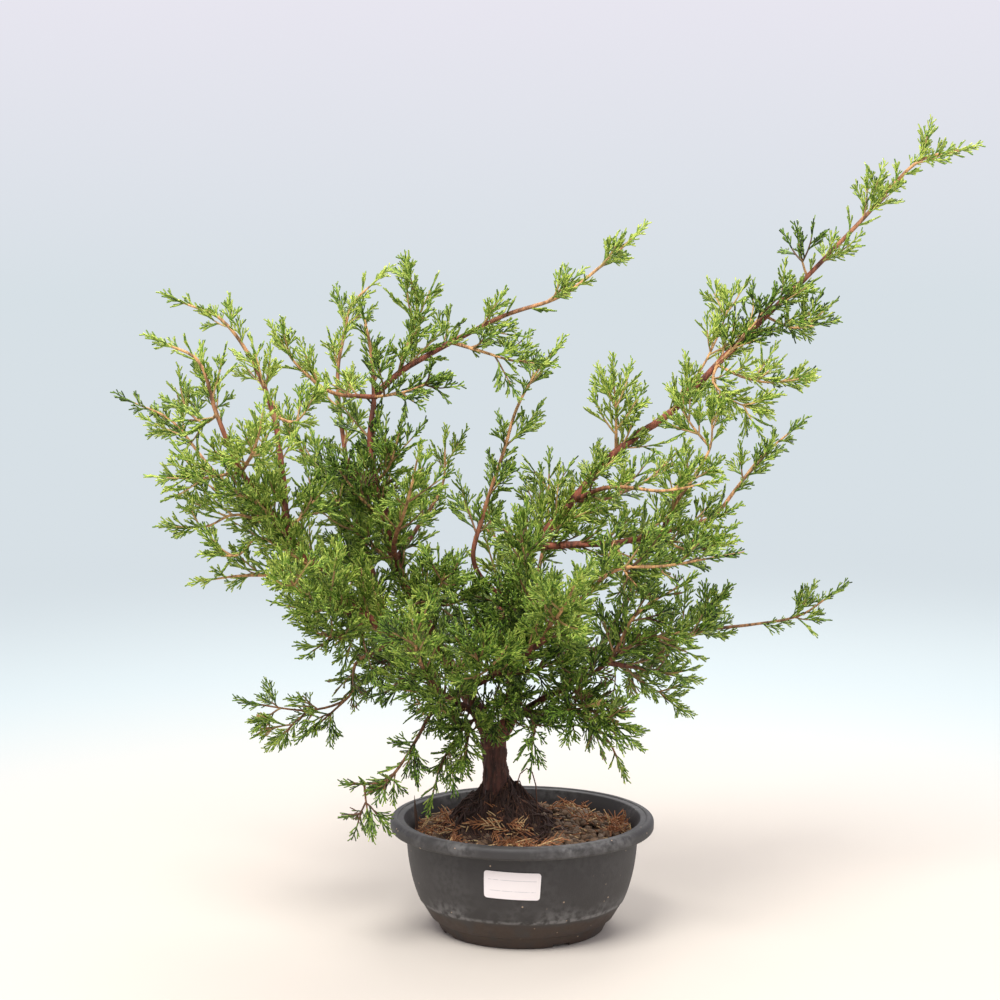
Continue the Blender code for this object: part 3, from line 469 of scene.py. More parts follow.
def bark(s):
    p = Paint("bark", 0.8)
    girth = p.attribute("girth")
    streaks = p.noise(120.0, 6.0, p.stretched((2.6, 2.6, 0.5)), 0.62)
    flakes = p.noise(420.0, 5.0, p.stretched((1.6, 1.6, 0.45)), 0.6)
    young = p.mix(girth.step(0.9, 1.8), s.young_bark, s.red_bark)
    grown = p.mix(girth.step(3.2, 7.0), young, s.old_bark)
    shade = p.mix(streaks.step(0.34, 0.64), [0.30] * 3, [1.25] * 3)
    toned = p.mix(1.0, grown, shade, "MULTIPLY")
    peel = flakes.step(0.60, 0.72) * girth.step(1.6, 4.0)
    # Painted shade: thin limbs low in the crown are darkened.
    lit = (p.axes()[2].step(0.14, 0.29) + girth.step(2.0, 4.0)).clamped()
    shaded = p.mix(lit, [0.32, 0.26, 0.25], [1.0] * 3)
    toned = p.mix(1.0, toned, shaded, "MULTIPLY")
    peeled = p.mix(peel * 0.55, toned, (0.21, 0.10, 0.065))
    return p.finish(peeled, 0.78, streaks * 0.7 + flakes * 0.4, 0.0011)


def scale_leaf(s):
    """Colour by the leaves' own map: age along U, from wood to young tip, and painted light and shade along V,
    from the dark heart of the crown to its lit top and outer edge.
    """
    p = Paint("scale_leaf", 0.5)
    age, tone = p.map_axes("OFBake")
    # Painted light and shade by V: stems go from dark brown in the shade to golden in the light, and leaves
    # from deep green in the shade through green to yellow-green in the light.
    stem = p.mix(tone.step(0.1, 0.9), (0.10, 0.042, 0.022), (0.62, 0.38, 0.16))
    shaded = p.mix(tone.step(0.05, 0.75), s.deep, s.green)
    tips = p.mix(tone.step(0.0, 0.9), s.green, s.fresh_and_lit)
    leaf = p.mix(age.step(0.50, 0.98), shaded, tips)
    # Painted light: the most lit sprays are drawn further toward the yellow-green of the tips.
    painted_light = p.mix(tone.step(0.62, 1.0) * 0.45, leaf, s.fresh_and_lit)
    ridges = p.add("ShaderNodeTexWave", {"wave_type": "BANDS", "bands_direction": "X"},
                   {"Vector": p.add("ShaderNodeUVMap", {"uv_map": "OFBake"}), "Scale": 14.0})
    scales = p.mix(ridges * 0.22, painted_light, s.deep)
    p.shader.inputs["Specular IOR Level"].default_value = 0.35
    return p.finish(p.mix(age.step(0.14, 0.24), stem, scales))


def label_paper(s):
    p = Paint("label_paper", 0.7)
    across, up = p.map_axes("OFBake")
    fibre = p.noise(900.0, 3.0)
    lower, upper = (1.0 - (up - height).maths("ABSOLUTE").step(0.008, 0.016) for height in (0.30, 0.70))
    inside = across.step(0.07, 0.08) * (1.0 - across.step(0.92, 0.93))
    worn = (lower + upper) * inside * p.noise(300.0, 2.0).step(0.30, 0.55)
    paper = p.mix(fibre * 0.10, s.paper, [c * 0.86 for c in s.paper])
    return p.finish(p.mix(worn * 0.45, paper, (0.30, 0.30, 0.32)), 0.66, fibre, 0.00005)


def stick_wood():
    p = Paint("stick_wood", 0.85)
    grain = p.noise(300.0, 4.0, p.stretched((3.0, 3.0, 0.4)))
    tone = p.mix(grain.step(0.3, 0.7), (0.030, 0.015, 0.010), (0.10, 0.05, 0.03))
    return p.finish(tone, 0.85, grain, 0.0006)


def studio_ground(s):
    """Cream by the pot, then the haze's own light, so that table and haze meet without an edge."""
    p = Paint("studio_ground", 0.8)
    x, y, z = p.axes()
    out = (x * x + y * y) ** 0.5
    near = p.mix(out.step(0.25, 1.1), s.ground, s.middle)
    p.finish(near)
    p.shader.inputs["Specular IOR Level"].default_value = 0.1
    glow = p.nodes.new("ShaderNodeEmission")
    p.put(glow.inputs["Color"], s.haze)
    blend = p.nodes.new("ShaderNodeMixShader")
    p.put(blend.inputs[0], out.step(0.6, 2.4))
    p.links.new(p.shader.outputs[0], blend.inputs[1])
    p.links.new(glow.outputs[0], blend.inputs[2])
    p.links.new(blend.outputs[0], p.nodes["Material Output"].inputs["Surface"])
    return p.material


# ---- mesh helpers ------------------------------------------------------------------------------
def link(name, mesh, material=None, smooth=True):
    made = bpy.data.objects.new(name, mesh)
    bpy.context.scene.collection.objects.link(made)
    if material:
        mesh.materials.clear()
        mesh.materials.append(material)
    if smooth:
        mesh.shade_smooth()
    return made


def from_bmesh(name, bm, material=None, smooth=True, sharp=None):
    """A metre object from a millimetre bmesh."""
    bmesh.ops.scale(bm, vec=(MM, MM, MM), verts=bm.verts)
    mesh = bpy.data.meshes.new(name)
    bm.to_mesh(mesh)
    bm.free()
    made = link(name, mesh, material, smooth)
    if sharp is not None:
        mesh.set_sharp_from_angle(angle=math.radians(sharp))
    return made


def evaluated(item):
    """The item's mesh with its modifiers applied; the item itself is removed."""
    bpy.context.view_layer.update()
    graph = bpy.context.evaluated_depsgraph_get()
    mesh = bpy.data.meshes.new_from_object(item.evaluated_get(graph))
    bpy.data.objects.remove(item, do_unlink=True)
    return mesh


def turned(profile, steps):
    """Spin (radius, height) points round Z; the profile starts and ends on the axis."""
    bm = bmesh.new()
    verts = [bm.verts.new((r, 0.0, z)) for r, z in profile]
    edges = [bm.edges.new(pair) for pair in zip(verts, verts[1:])]
    bmesh.ops.spin(bm, geom=verts + edges, cent=(0, 0, 0), axis=(0, 0, 1), angle=math.tau, steps=steps,
                   use_merge=True)
    bmesh.ops.remove_doubles(bm, verts=bm.verts, dist=0.001)
    bmesh.ops.recalc_face_normals(bm, faces=bm.faces)
    return bm


def join(name, meshes, material):
    """One object from several meshes."""
    bm = bmesh.new()
    for mesh in meshes:
        bm.from_mesh(mesh)
    whole = bpy.data.meshes.new(name)
    bm.to_mesh(whole)
    bm.free()
    return link(name, whole, material)


def dress(item, slot, *nodes):
    """Hand a finished piece to the frame, in place of its CAD nodes where it has any."""
    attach(item, "root")
    if nodes:
        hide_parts(*nodes)


def tube_curve(name, resolution):
    """An empty curve with a round, capped section of one metre's radius, scaled at each point."""
    curve = bpy.data.curves.new(name, "CURVE")
    curve.dimensions = "3D"
    curve.bevel_depth = 1.0
    curve.bevel_resolution = resolution
    curve.use_fill_caps = True
    return curve


def curve_mesh(curve):
    """The mesh of a curve's tubes; the curve itself is removed."""
    holder = bpy.data.objects.new(curve.name, curve)
    bpy.context.scene.collection.objects.link(holder)
    mesh = evaluated(holder)
    bpy.data.curves.remove(curve)
    return mesh


class Strands:
    """Tapered cords collected by their number of points, then turned into one mesh with a map."""

    def __init__(self):
        self.groups = {}

    def add(self, points, thick, thin, ages, tone):
        """Points in millimetres, radius at each end, and the map's U at both ends and its V."""
        last = len(points) - 1
        flat, radii = [], []
        for index, point in enumerate(points):
            flat += [point[0] * MM, point[1] * MM, point[2] * MM, 1.0]
            share = index / last
            radii.append((thick + (thin - thick) * share) * MM)
        self.groups.setdefault(len(points), []).append((flat, radii, ages, tone))

    def meshes(self, name, resolution=0):
        made = []
        for count, strands in sorted(self.groups.items()):
            curve = tube_curve(f"{name}_{count}", resolution)
            for flat, radii, ages, tone in strands:
                spline = curve.splines.new("POLY")
                spline.points.add(count - 1)
                spline.points.foreach_set("co", flat)
                spline.points.foreach_set("radius", radii)
            mesh = curve_mesh(curve)
            self.map_out(mesh, strands)
            made.append(mesh)
        return made

    @staticmethod
    def map_out(mesh, strands):
        """Age along each cord on U, and a narrow band of V round it; caps take a small patch."""
        layer = mesh.uv_layers[0]
        layer.name = "OFBake"
        corners = len(mesh.loops) // len(strands)
        uv = np.empty(len(mesh.loops) * 2, np.float32)
        layer.data.foreach_get("uv", uv)
        uv = uv.reshape(len(strands), corners, 2)
        first = np.array([ages[0] for flat, radii, ages, tone in strands])[:, None]
        last = np.array([ages[1] for flat, radii, ages, tone in strands])[:, None]
        tones = np.array([tone for flat, radii, ages, tone in strands])[:, None]
        sides = mesh_sides(mesh, len(strands))
        along, around = uv[:, :, 0], uv[:, :, 1]
        cap = np.zeros(corners, bool)
        cap[:sides] = True
        end = np.zeros(corners, bool)
        end[sides // 2:sides] = True
        u = first + (last - first) * along
        patch = 0.012 * along
        u = np.where(cap[None, :], np.where(end[None, :], last - patch, first + patch), u)
        ring = np.tile([0.0, 1.0, 0.5], corners)[:corners]
        v = tones * 0.94 + 0.02 + 0.03 * np.where(cap[None, :], ring[None, :] * 0.5, around)
        mapped = np.stack([u, v], axis=2).astype(np.float32)
        layer.data.foreach_set("uv", np.clip(mapped, 0.001, 0.999).ravel())


def mesh_sides(mesh, strands):
    """Corners taken by the end caps of each cord: they come first, as triangles."""
    count = len(mesh.polygons) // strands
    totals = np.empty(len(mesh.polygons), np.int32)
    mesh.polygons.foreach_get("loop_total", totals)
    return int((totals[:count] == 3).sum()) * 3


# ---- limbs -------------------------------------------------------------------------------------
class Limb:
    """A smooth centre line through a limb's knots, sampled every few millimetres."""

    def __init__(self, knots, radii, spacing=5.0):
        self.points, self.radii, self.knots = [], [], knots
        ends = [2 * knots[0] - knots[1]] + knots + [2 * knots[-1] - knots[-2]]
        for index in range(len(knots) - 1):
            a, b, c, d = ends[index:index + 4]
            steps = max(2, round((c - b).length / spacing))
            for step in range(steps):
                t = step / steps
                self.points.append(0.5 * (2 * b + (c - a) * t + (2 * a - 5 * b + 4 * c - d) * t * t
                                          + (3 * b - a - 3 * c + d) * t ** 3))
                self.radii.append(radii[index] + (radii[index + 1] - radii[index]) * t)
        self.points.append(knots[-1].copy())
        self.radii.append(radii[-1])
        self.lengths = [0.0]
        for before, after in zip(self.points, self.points[1:]):
            self.lengths.append(self.lengths[-1] + (after - before).length)
        self.length = self.lengths[-1]

    def at(self, along):
        """Place, direction and radius at a distance along the limb."""
        index = 1
        while index < len(self.lengths) - 1 and self.lengths[index] < along:
            index += 1
        before, after = self.points[index - 1], self.points[index]
        run = self.lengths[index] - self.lengths[index - 1]
        share = clamp((along - self.lengths[index - 1]) / run)
        radius = self.radii[index - 1] + (self.radii[index] - self.radii[index - 1]) * share
        return before.lerp(after, share), (after - before).normalized(), radius


def grow_limbs():
    """All limbs and spurs by name, each starting on its parent's centre line."""
    def place(knot):
        return Vector((knot[0], knot[1], SOIL_LEVEL + knot[2]))

    limbs = {"trunk": Limb([place(k) for k in TRUNK_ROUTE], TRUNK_RADII, 3.0)}
    spurs = {name: (*spur, SPUR_TIP) for name, spur in SPURS.items()}
    for name, (parent, knot, route, at_fork, at_tip) in {**LIMBS, **spurs}.items():
        knots = [limbs[parent].knots[knot]] + [place(k) for k in route]
        count = len(knots) - 1
        radii = [at_fork + (at_tip - at_fork) * (i / count) ** 0.8 for i in range(count + 1)]
        limbs[name] = Limb(knots, radii)
    return limbs


def grow_roots():
    foot = Vector((TRUNK_ROUTE[1][0], TRUNK_ROUTE[1][1], SOIL_LEVEL))
    roots = {}
    for name, (azimuth, reach, depth, radius) in ROOTS.items():
        out = Vector((math.cos(math.radians(azimuth)), math.sin(math.radians(azimuth)), 0.0))
        knots = [foot + UP * 16.0, foot + out * 9.7 + UP * 9.9, foot + out * reach * 0.55 + UP,
                 foot + out * reach + UP * depth]
        roots[name] = Limb(knots, [radius, radius * 0.9, radius * 0.6, radius * 0.3], 3.0)
    return roots


def square_to(direction):
    """Any unit vector square to a direction."""
    other = UP if abs(direction.z) < 0.9 else Vector((1.0, 0.0, 0.0))
    return direction.cross(other).normalized()


def turned_by(direction, about, degrees):
    return Matrix.Rotation(math.radians(degrees), 3, about) @ direction


# ---- pot ---------------------------------------------------------------------------------------
POT_STEPS = 168
CHANNEL_COUNT = 4
CHANNEL_CUTTER = (52.0, 13.0, 4.0)  # along the channel, across it, and through the foot's face
CHANNEL_MIDDLE = 44.0
FIRST_CHANNEL_DEG = -63.0
DRAIN_RADIUS = 4.0
DRAIN_CUT = 16.0
DRAIN_CIRCLE = 38.0
WALL_SWELL = 0.35  # how far the moulded wall waves in and out
SWELL_SCALE = 0.021


def belly(fraction):
    """Share of the wall's flare reached at a share of its height: steep at the foot, then upright."""
    return (1.0 - (1.0 - fraction) ** 2) ** 0.68


def arc(cx, cz, radius, start, stop, steps):
    """Points on an arc in the profile's plane, in degrees from +radius."""
    angles = [math.radians(start + (stop - start) * i / steps) for i in range(steps + 1)]
    return [(cx + radius * math.cos(a), cz + radius * math.sin(a)) for a in angles]


def pot_profile(s):
    """Half section of the pot, from the middle of its underside round the lip to the middle of its floor."""
    lip_bottom = POT_HEIGHT - s.lip_height
    wall = []
    for index in range(27):
        fraction = (index / 26) ** 1.8
        wall.append((s.shoulder_radius + (s.body_radius - s.shoulder_radius) * belly(fraction),
                     s.foot_height + (lip_bottom - s.foot_height) * fraction))
    above = [(r, z) for r, z in wall if z > s.crease_height + 0.8]
    fraction = (s.crease_height - s.foot_height) / (lip_bottom - s.foot_height)
    crease = s.shoulder_radius + (s.body_radius - s.shoulder_radius) * belly(fraction)
    wall = [wall[0], (s.shoulder_radius + 1.7, s.foot_height + 1.0), (crease - 1.6, s.crease_height - 1.8),
            (crease - 0.5, s.crease_height - 0.4), (crease + 0.1, s.crease_height + 0.3)] + above
    points = [(0.0, 0.0)]
    points += arc(s.foot_radius - 1.0, 1.0, 1.0, -90, -10, 4)
    points += [(s.shoulder_radius - 2.0, s.foot_height - 1.6)]
    points += [(s.shoulder_radius - 1.5, s.foot_height - 0.7), (s.shoulder_radius - 0.5, s.foot_height - 0.2)]
    points += wall[:-1]
    points += [(s.body_radius, lip_bottom - 0.6), (s.body_radius + 0.8, lip_bottom)]
    points += arc(RIM_RADIUS - 2.0, lip_bottom + 1.6, 2.0, -80, 0, 6)
    points += arc(RIM_RADIUS - 3.6, POT_HEIGHT - 3.6, 3.6, 0, 90, 10)
    groove = s.mouth_radius + 4.2
    points += [(groove + 1.0, POT_HEIGHT), (groove + 0.5, POT_HEIGHT - 0.25)]
    points += [(groove + 0.2, POT_HEIGHT - 0.7)]
    points += [(groove - 0.8, POT_HEIGHT - 0.8), (s.mouth_radius + 1.4, POT_HEIGHT - 0.8)]
    points += arc(s.mouth_radius + 1.2, POT_HEIGHT - 2.0, 1.2, 90, 180, 5)
    points += [(s.body_radius - s.wall, lip_bottom - 1.0)]
    points += [(r - s.wall, z) for r, z in reversed(wall[5:-1:2])]
    points += [(s.shoulder_radius - s.wall - 1.0, s.floor + 5.0), (s.shoulder_radius - s.wall - 5.0, s.floor)]
    return points + [(0.0, s.floor)]


class BONSAI_OT_pot(bpy.types.Operator):
    """Turn the training pot, then cut its drainage channels and holes"""

    bl_idname = "bonsai.pot"
    bl_label = "Training pot"

    def execute(self, context):
        s = context.scene.bonsai_pot
        bm = turned(pot_profile(s), POT_STEPS)
        for vert in bm.verts:
            swell = noise.noise(vert.co * SWELL_SCALE) * WALL_SWELL * min(1.0, vert.co.z / 30.0)
            flat = Vector((vert.co.x, vert.co.y, 0.0))
            if flat.length > 50.0:
                vert.co += flat.normalized() * swell
        pot = from_bmesh("training_pot", bm)
        cutters = []
        for index in range(CHANNEL_COUNT):
            turn = Matrix.Rotation(math.radians(FIRST_CHANNEL_DEG + 360.0 / CHANNEL_COUNT * index), 4, "Z")
            bm = bmesh.new()
            box = Matrix.Diagonal((*CHANNEL_CUTTER, 1.0))
            place = turn @ Matrix.Translation((CHANNEL_MIDDLE, 0, 0))
            bmesh.ops.create_cube(bm, size=1.0, matrix=place @ box)
            cutters.append(from_bmesh("channel", bm, smooth=False))
            bm = bmesh.new()
            bmesh.ops.create_cone(bm, cap_ends=True, segments=40, radius1=DRAIN_RADIUS, radius2=DRAIN_RADIUS,
                                  depth=DRAIN_CUT, matrix=turn @ Matrix.Translation((DRAIN_CIRCLE, 0, 0)))
            cutters.append(from_bmesh("drain", bm, smooth=False))
        group = bpy.data.collections.new("drainage")
        for cutter in cutters:
            group.objects.link(cutter)
        cut = pot.modifiers.new("drainage", "BOOLEAN")
        cut.operand_type = "COLLECTION"
        cut.collection = group
        mesh = evaluated(pot)
        for cutter in cutters:
            bpy.data.objects.remove(cutter, do_unlink=True)
        bpy.data.collections.remove(group)
        pot = link("training_pot", mesh, pot_plastic(s))
        mesh.set_sharp_from_angle(angle=math.radians(38))
        dress(pot, "pot_plastic", "pot")
        return {"FINISHED"}


# ---- soil, litter and roots --------------------------------------------------------------------
MOUND_MIDDLE = Vector((-14.0, -4.0, 0.0))
MOUND_RADIUS = 46.0
MOUND_TOP = 46.0
SPRAY_REACH = 74.0  # from the pot's axis: how far out dead sprays start
NEEDLE_REACH = 76.0
LITTER_REACH = 77.5  # no needle passes this
LITTER_HEAPS = [  # middle and spread of each heap of dead sprays
    (-60, -8, 11), (-62, 14, 10), (-50, -34, 12), (-6, -50, 9), (-10, -38, 8), (-18, -34, 7), (8, -56, 10),
    (64, 8, 8), (66, -6, 8), (60, 22, 9), (-14, 60, 16), (30, 58, 16), (-52, 42, 14)]


def soil_height(x, y):
    """Height of the soil at a place, with its gentle dome and hollows."""
    out = math.hypot(x, y) / 80.0
    return SOIL_LEVEL + 2.0 - 4.0 * out * out + 1.6 * noise.noise(Vector((x, y, 3.0)) * 0.045)


def mound_height(x, y):
    """Height of the root mound's skin, or None outside it: a steep cone with ridges down it."""
    flat = Vector((x - MOUND_MIDDLE.x, y - MOUND_MIDDLE.y, 0.0))
    away = flat.length / MOUND_RADIUS
    if away > 1.0:
        return None
    turn = math.atan2(flat.y, flat.x)
    ridge = noise.noise(Vector((math.cos(turn) * 3.2, math.sin(turn) * 3.2, away * 1.2)))
    lumps = noise.noise(Vector((x, y, 11.0)) * 0.16)
    share = 1.0 - away
    return SOIL_LEVEL - 4.0 + MOUND_TOP * share + (8.0 * ridge + 3.5 * lumps) * min(1.0, 3.0 * share)


class BONSAI_OT_soil(bpy.types.Operator):
    """Fill the pot with planting mix and strew loose grains over it"""

    bl_idname = "bonsai.soil"
    bl_label = "Planting mix"

    def execute(self, context):
        s = context.scene.bonsai_soil
        pot = context.scene.bonsai_pot
        inner = pot.body_radius - pot.wall - 0.6
        profile = [(0.0, pot.floor + 0.5), (pot.shoulder_radius - 9.0, pot.floor + 0.5)]
        profile += [(pot.shoulder_radius - 3.6, 12.0), (inner - 8.6, 20.0), (inner - 5.0, 32.0)]
        profile += [(inner - 1.6, 52.0), (inner - 0.9, SOIL_LEVEL - 4.0)]
        rings = 34
        profile += [((inner - 0.9) * (1.0 - k / rings), SOIL_LEVEL - 2.0) for k in range(rings)]
        bm = turned(profile + [(0.0, SOIL_LEVEL - 2.0)], 150)
        for vert in bm.verts:
            if vert.co.z > SOIL_LEVEL - 2.5:
                vert.co.z = soil_height(vert.co.x, vert.co.y) - 2.2 + 0.9 * noise.noise(vert.co * 0.4)
        bed = from_bmesh("soil_bed", bm, dark_soil(s))
        dress(bed, "soil", "soil")
        self.grains(s, inner)
        return {"FINISHED"}

    def grains(self, s, inner):
        """Lumpy clay grains, dropped where they don't sink in the root mound."""
        draw = random.Random(41)
        bm = bmesh.new()
        tone = bm.verts.layers.float.new("tone")
        for index in range(s.grains):
            out, turn = (inner - 3.0) * math.sqrt(draw.random()), math.tau * draw.random()
            x, y = out * math.cos(turn), out * math.sin(turn)
            radius = draw.choice((1.3, 1.8, 2.3, 2.8, 3.2)) * draw.uniform(0.8, 1.15)
            radius = min(radius, inner - out + 0.8)
            mound = mound_height(x, y)
            ground = soil_height(x, y)
            if mound and mound > ground + 4.0 + 10.0 * draw.random() ** 3:
                continue
            lift = 1.6 * draw.random() if radius < 2.0 else 0.6
            middle = Vector((x, y, max(ground, (mound or 0.0) - 1.0) - 1.3 + lift + radius * 0.25))
            squash = Matrix.Diagonal((radius, radius * draw.uniform(0.7, 1.0),
                                      radius * draw.uniform(0.55, 0.85), 1.0))
            spin = Matrix.Rotation(draw.uniform(0, math.tau), 4,
                                   Vector((draw.gauss(0, 1), draw.gauss(0, 1), 1.0)))
            made = bmesh.ops.create_icosphere(bm, subdivisions=2, radius=1.0,
                                              matrix=Matrix.Translation(middle) @ spin @ squash)
            shift, shade = Vector((index * 3.1, 0.0, 0.0)), draw.random()
            for vert in made["verts"]:
                lump = noise.noise((vert.co - middle) * (1.1 / radius) + shift)
                vert.co += (vert.co - middle) * 0.42 * lump
                vert[tone] = shade
        grains = from_bmesh("soil_grains", bm, grain_clay(s))
        dress(grains, "soil")


class BONSAI_OT_litter(bpy.types.Operator):
    """Scatter dead sprays and bleached needles over the soil"""

    bl_idname = "bonsai.litter"
    bl_label = "Dead needles"

    def execute(self, context):
        s = context.scene.bonsai_soil
        draw = random.Random(77)
        strands = Strands()
        for index in range(s.needles):
            x0, y0, spread = LITTER_HEAPS[index % len(LITTER_HEAPS)]
            x, y = x0 + draw.gauss(0, spread * 0.6), y0 + draw.gauss(0, spread * 0.6)
            out = math.hypot(x, y)
            if out > SPRAY_REACH:
                x, y = x * SPRAY_REACH / out, y * SPRAY_REACH / out
            ground = soil_height(x, y)
            mound = mound_height(x, y)
            if mound and mound > ground:
                ground = mound
            if ground > SOIL_LEVEL + 24.0:
                continue
            start = Vector((x, y, ground + draw.uniform(0.6, 3.2)))
            turn = draw.uniform(0, math.tau)
            heading = Vector((math.cos(turn), math.sin(turn), draw.uniform(-0.15, 0.42))).normalized()
            self.dead_spray(draw, strands, start, heading)
        for index in range(s.needles * 2):
            out, turn = NEEDLE_REACH * math.sqrt(draw.random()), draw.uniform(0, math.tau)
            x, y = out * math.cos(turn), out * math.sin(turn)
            if (mound_height(x, y) or 0.0) > SOIL_LEVEL + 10.0:
                continue
            level = max(soil_height(x, y), mound_height(x, y) or 0.0) + draw.uniform(0.8, 2.4)
            heading = Vector((draw.gauss(0, 1), draw.gauss(0, 1), draw.gauss(0, 0.18))).normalized()
            side = square_to(heading) * draw.uniform(-2.2, 2.2)
            run = draw.uniform(5.0, 13.0)
            start = Vector((x, y, level))
            points = [start - heading * run * 0.5, start + side * 0.25, start + heading * run * 0.5]
            self.keep_inside(points)
            thick = draw.uniform(0.35, 0.6)
            strands.add(points, thick, 0.22, (0.1, 0.9), draw.choice((0.2, 0.5, 0.85, 0.97)))
        litter = join("dead_needles", strands.meshes("litter"), dead_needle(s))
        dress(litter, "soil")
        return {"FINISHED"}

    @staticmethod
    def keep_inside(points):
        """Move points in from the wall and up out of the soil. Each has its own reach, so none coincide."""
        for step, point in enumerate(points):
            out, reach = math.hypot(point.x, point.y), LITTER_REACH - 0.4 * step
            if out > reach:
                point.x, point.y = point.x * reach / out, point.y * reach / out
            point.z = max(point.z, soil_height(point.x, point.y) + 0.2)

    def dead_spray(self, draw, strands, start, heading):
        """A dry twig with short needles in two loose ranks."""
        length = draw.uniform(9.0, 21.0)
        tone = draw.uniform(0.0, 0.55) if draw.random() < 0.8 else draw.uniform(0.75, 0.9)
        side = (turned_by(square_to(heading), heading, draw.uniform(-40, 40)) + UP * 0.2).normalized()
        sag = Vector((0, 0, -draw.uniform(0.0, 2.5)))
        spine = [start + heading * length * t + sag * t * t for t in (0.0, 0.33, 0.66, 1.0)]
        self.keep_inside(spine)
        strands.add(spine, 0.52, 0.36, (0.05, 0.7), tone)
        count = int(length / 2.1)
        for index in range(count):
            t = (index + 0.6) / count
            root = start + heading * length * t + sag * t * t
            swing = draw.uniform(28, 52) * (1 if index % 2 else -1)
            out = turned_by(heading, side, swing)
            reach = draw.uniform(4.0, 9.5) * (1.1 - 0.5 * t)
            points = [root, root + out * reach * 0.55 + heading * 0.3, root + (out + heading * 0.25) * reach]
            self.keep_inside(points)
            strands.add(points, 0.44, 0.26, (0.3, 1.0), min(0.99, tone + draw.uniform(-0.05, 0.05)))


class BONSAI_OT_root_mound(bpy.types.Operator):
    """Build the mound of matted roots round the trunk's foot"""

    bl_idname = "bonsai.root_mound"
    bl_label = "Root mound"

    def execute(self, context):
        s = context.scene.bonsai_soil
        reach = MOUND_RADIUS - 0.2
        rings = 44
        profile = [(0.0, SOIL_LEVEL - 14.0), (reach - 3.0, SOIL_LEVEL - 14.0)]
        profile += [(reach * (1.0 - k / rings), SOIL_LEVEL) for k in range(rings)]
        bm = turned(profile + [(0.0, SOIL_LEVEL)], 160)
        for vert in bm.verts:
            top = vert.co.z > SOIL_LEVEL - 1.0
            vert.co += MOUND_MIDDLE
            if top:
                vert.co.z = mound_height(vert.co.x, vert.co.y) or SOIL_LEVEL - 5.0
                vert.co.z += 1.1 * noise.noise(vert.co * 0.6)
        mat = from_bmesh("root_mound", bm, root_mat())
        dress(mat, "root_mat", "root_ball")
        fibres = join("root_fibres", self.fibres(s).meshes("fibre"), root_fibre())
        dress(fibres, "root_mat")
        return {"FINISHED"}

    def fibres(self, s):
        """Fine roots that creep down the mound, and a few that arch free of it."""
        draw = random.Random(5)
        strands = Strands()
        for index in range(s.fibres):
            turn = draw.uniform(0, math.tau)
            out = draw.uniform(7.0, 38.0)
            length = draw.uniform(7.0, 22.0)
            drift = draw.uniform(-0.045, 0.045)
            lift = draw.choice((0.2, 0.5, 0.9, 1.8, 3.2))
            points = []
            for step in range(6):
                r = out + length * step / 5
                a = turn + drift * step * 4 + 0.05 * noise.noise(Vector((index, step * 0.7, 0)))
                x, y = MOUND_MIDDLE.x + r * math.cos(a), MOUND_MIDDLE.y + r * math.sin(a)
                skin = max(mound_height(x, y) or 0.0, soil_height(x, y))
                bow = math.sin(math.pi * step / 5)
                points.append(Vector((x, y, skin + lift * bow + draw.uniform(-0.3, 0.5))))
            thick = draw.choice((0.28, 0.35, 0.45, 0.7, 1.0))
            strands.add(points, thick, thick * 0.45, (0.0, 1.0), draw.random())
        arch = [(-4.0, -6.0, 33.0), (-1.5, -10.0, 42.0), (3.0, -13.0, 46.5), (7.0, -14.0, 44.0),
                (9.5, -15.0, 35.0), (10.5, -17.0, 20.0), (11.0, -20.0, 8.0)]
        strands.add([Vector((x, y, SOIL_LEVEL + z)) for x, y, z in arch], 0.55, 0.4, (0.0, 1.0), 0.95)
        return strands


# ---- wood --------------------------------------------------------------------------------------
THICK_LIMB = 2.8  # radius at the fork from which a limb is fused with the trunk
THINNEST_FUSED = 1.9
WOBBLE_SEED = 7


def radius_lookup(limbs):
    """A function that gives the wood's radius at the centre point nearest to a place."""
    samples = [(point, radius) for limb in limbs for point, radius in zip(limb.points, limb.radii)]
    tree = kdtree.KDTree(len(samples))
    for index, (point, radius) in enumerate(samples):
        tree.insert(point, index)
    tree.balance()
    return lambda place: samples[tree.find(place)[1]][1]


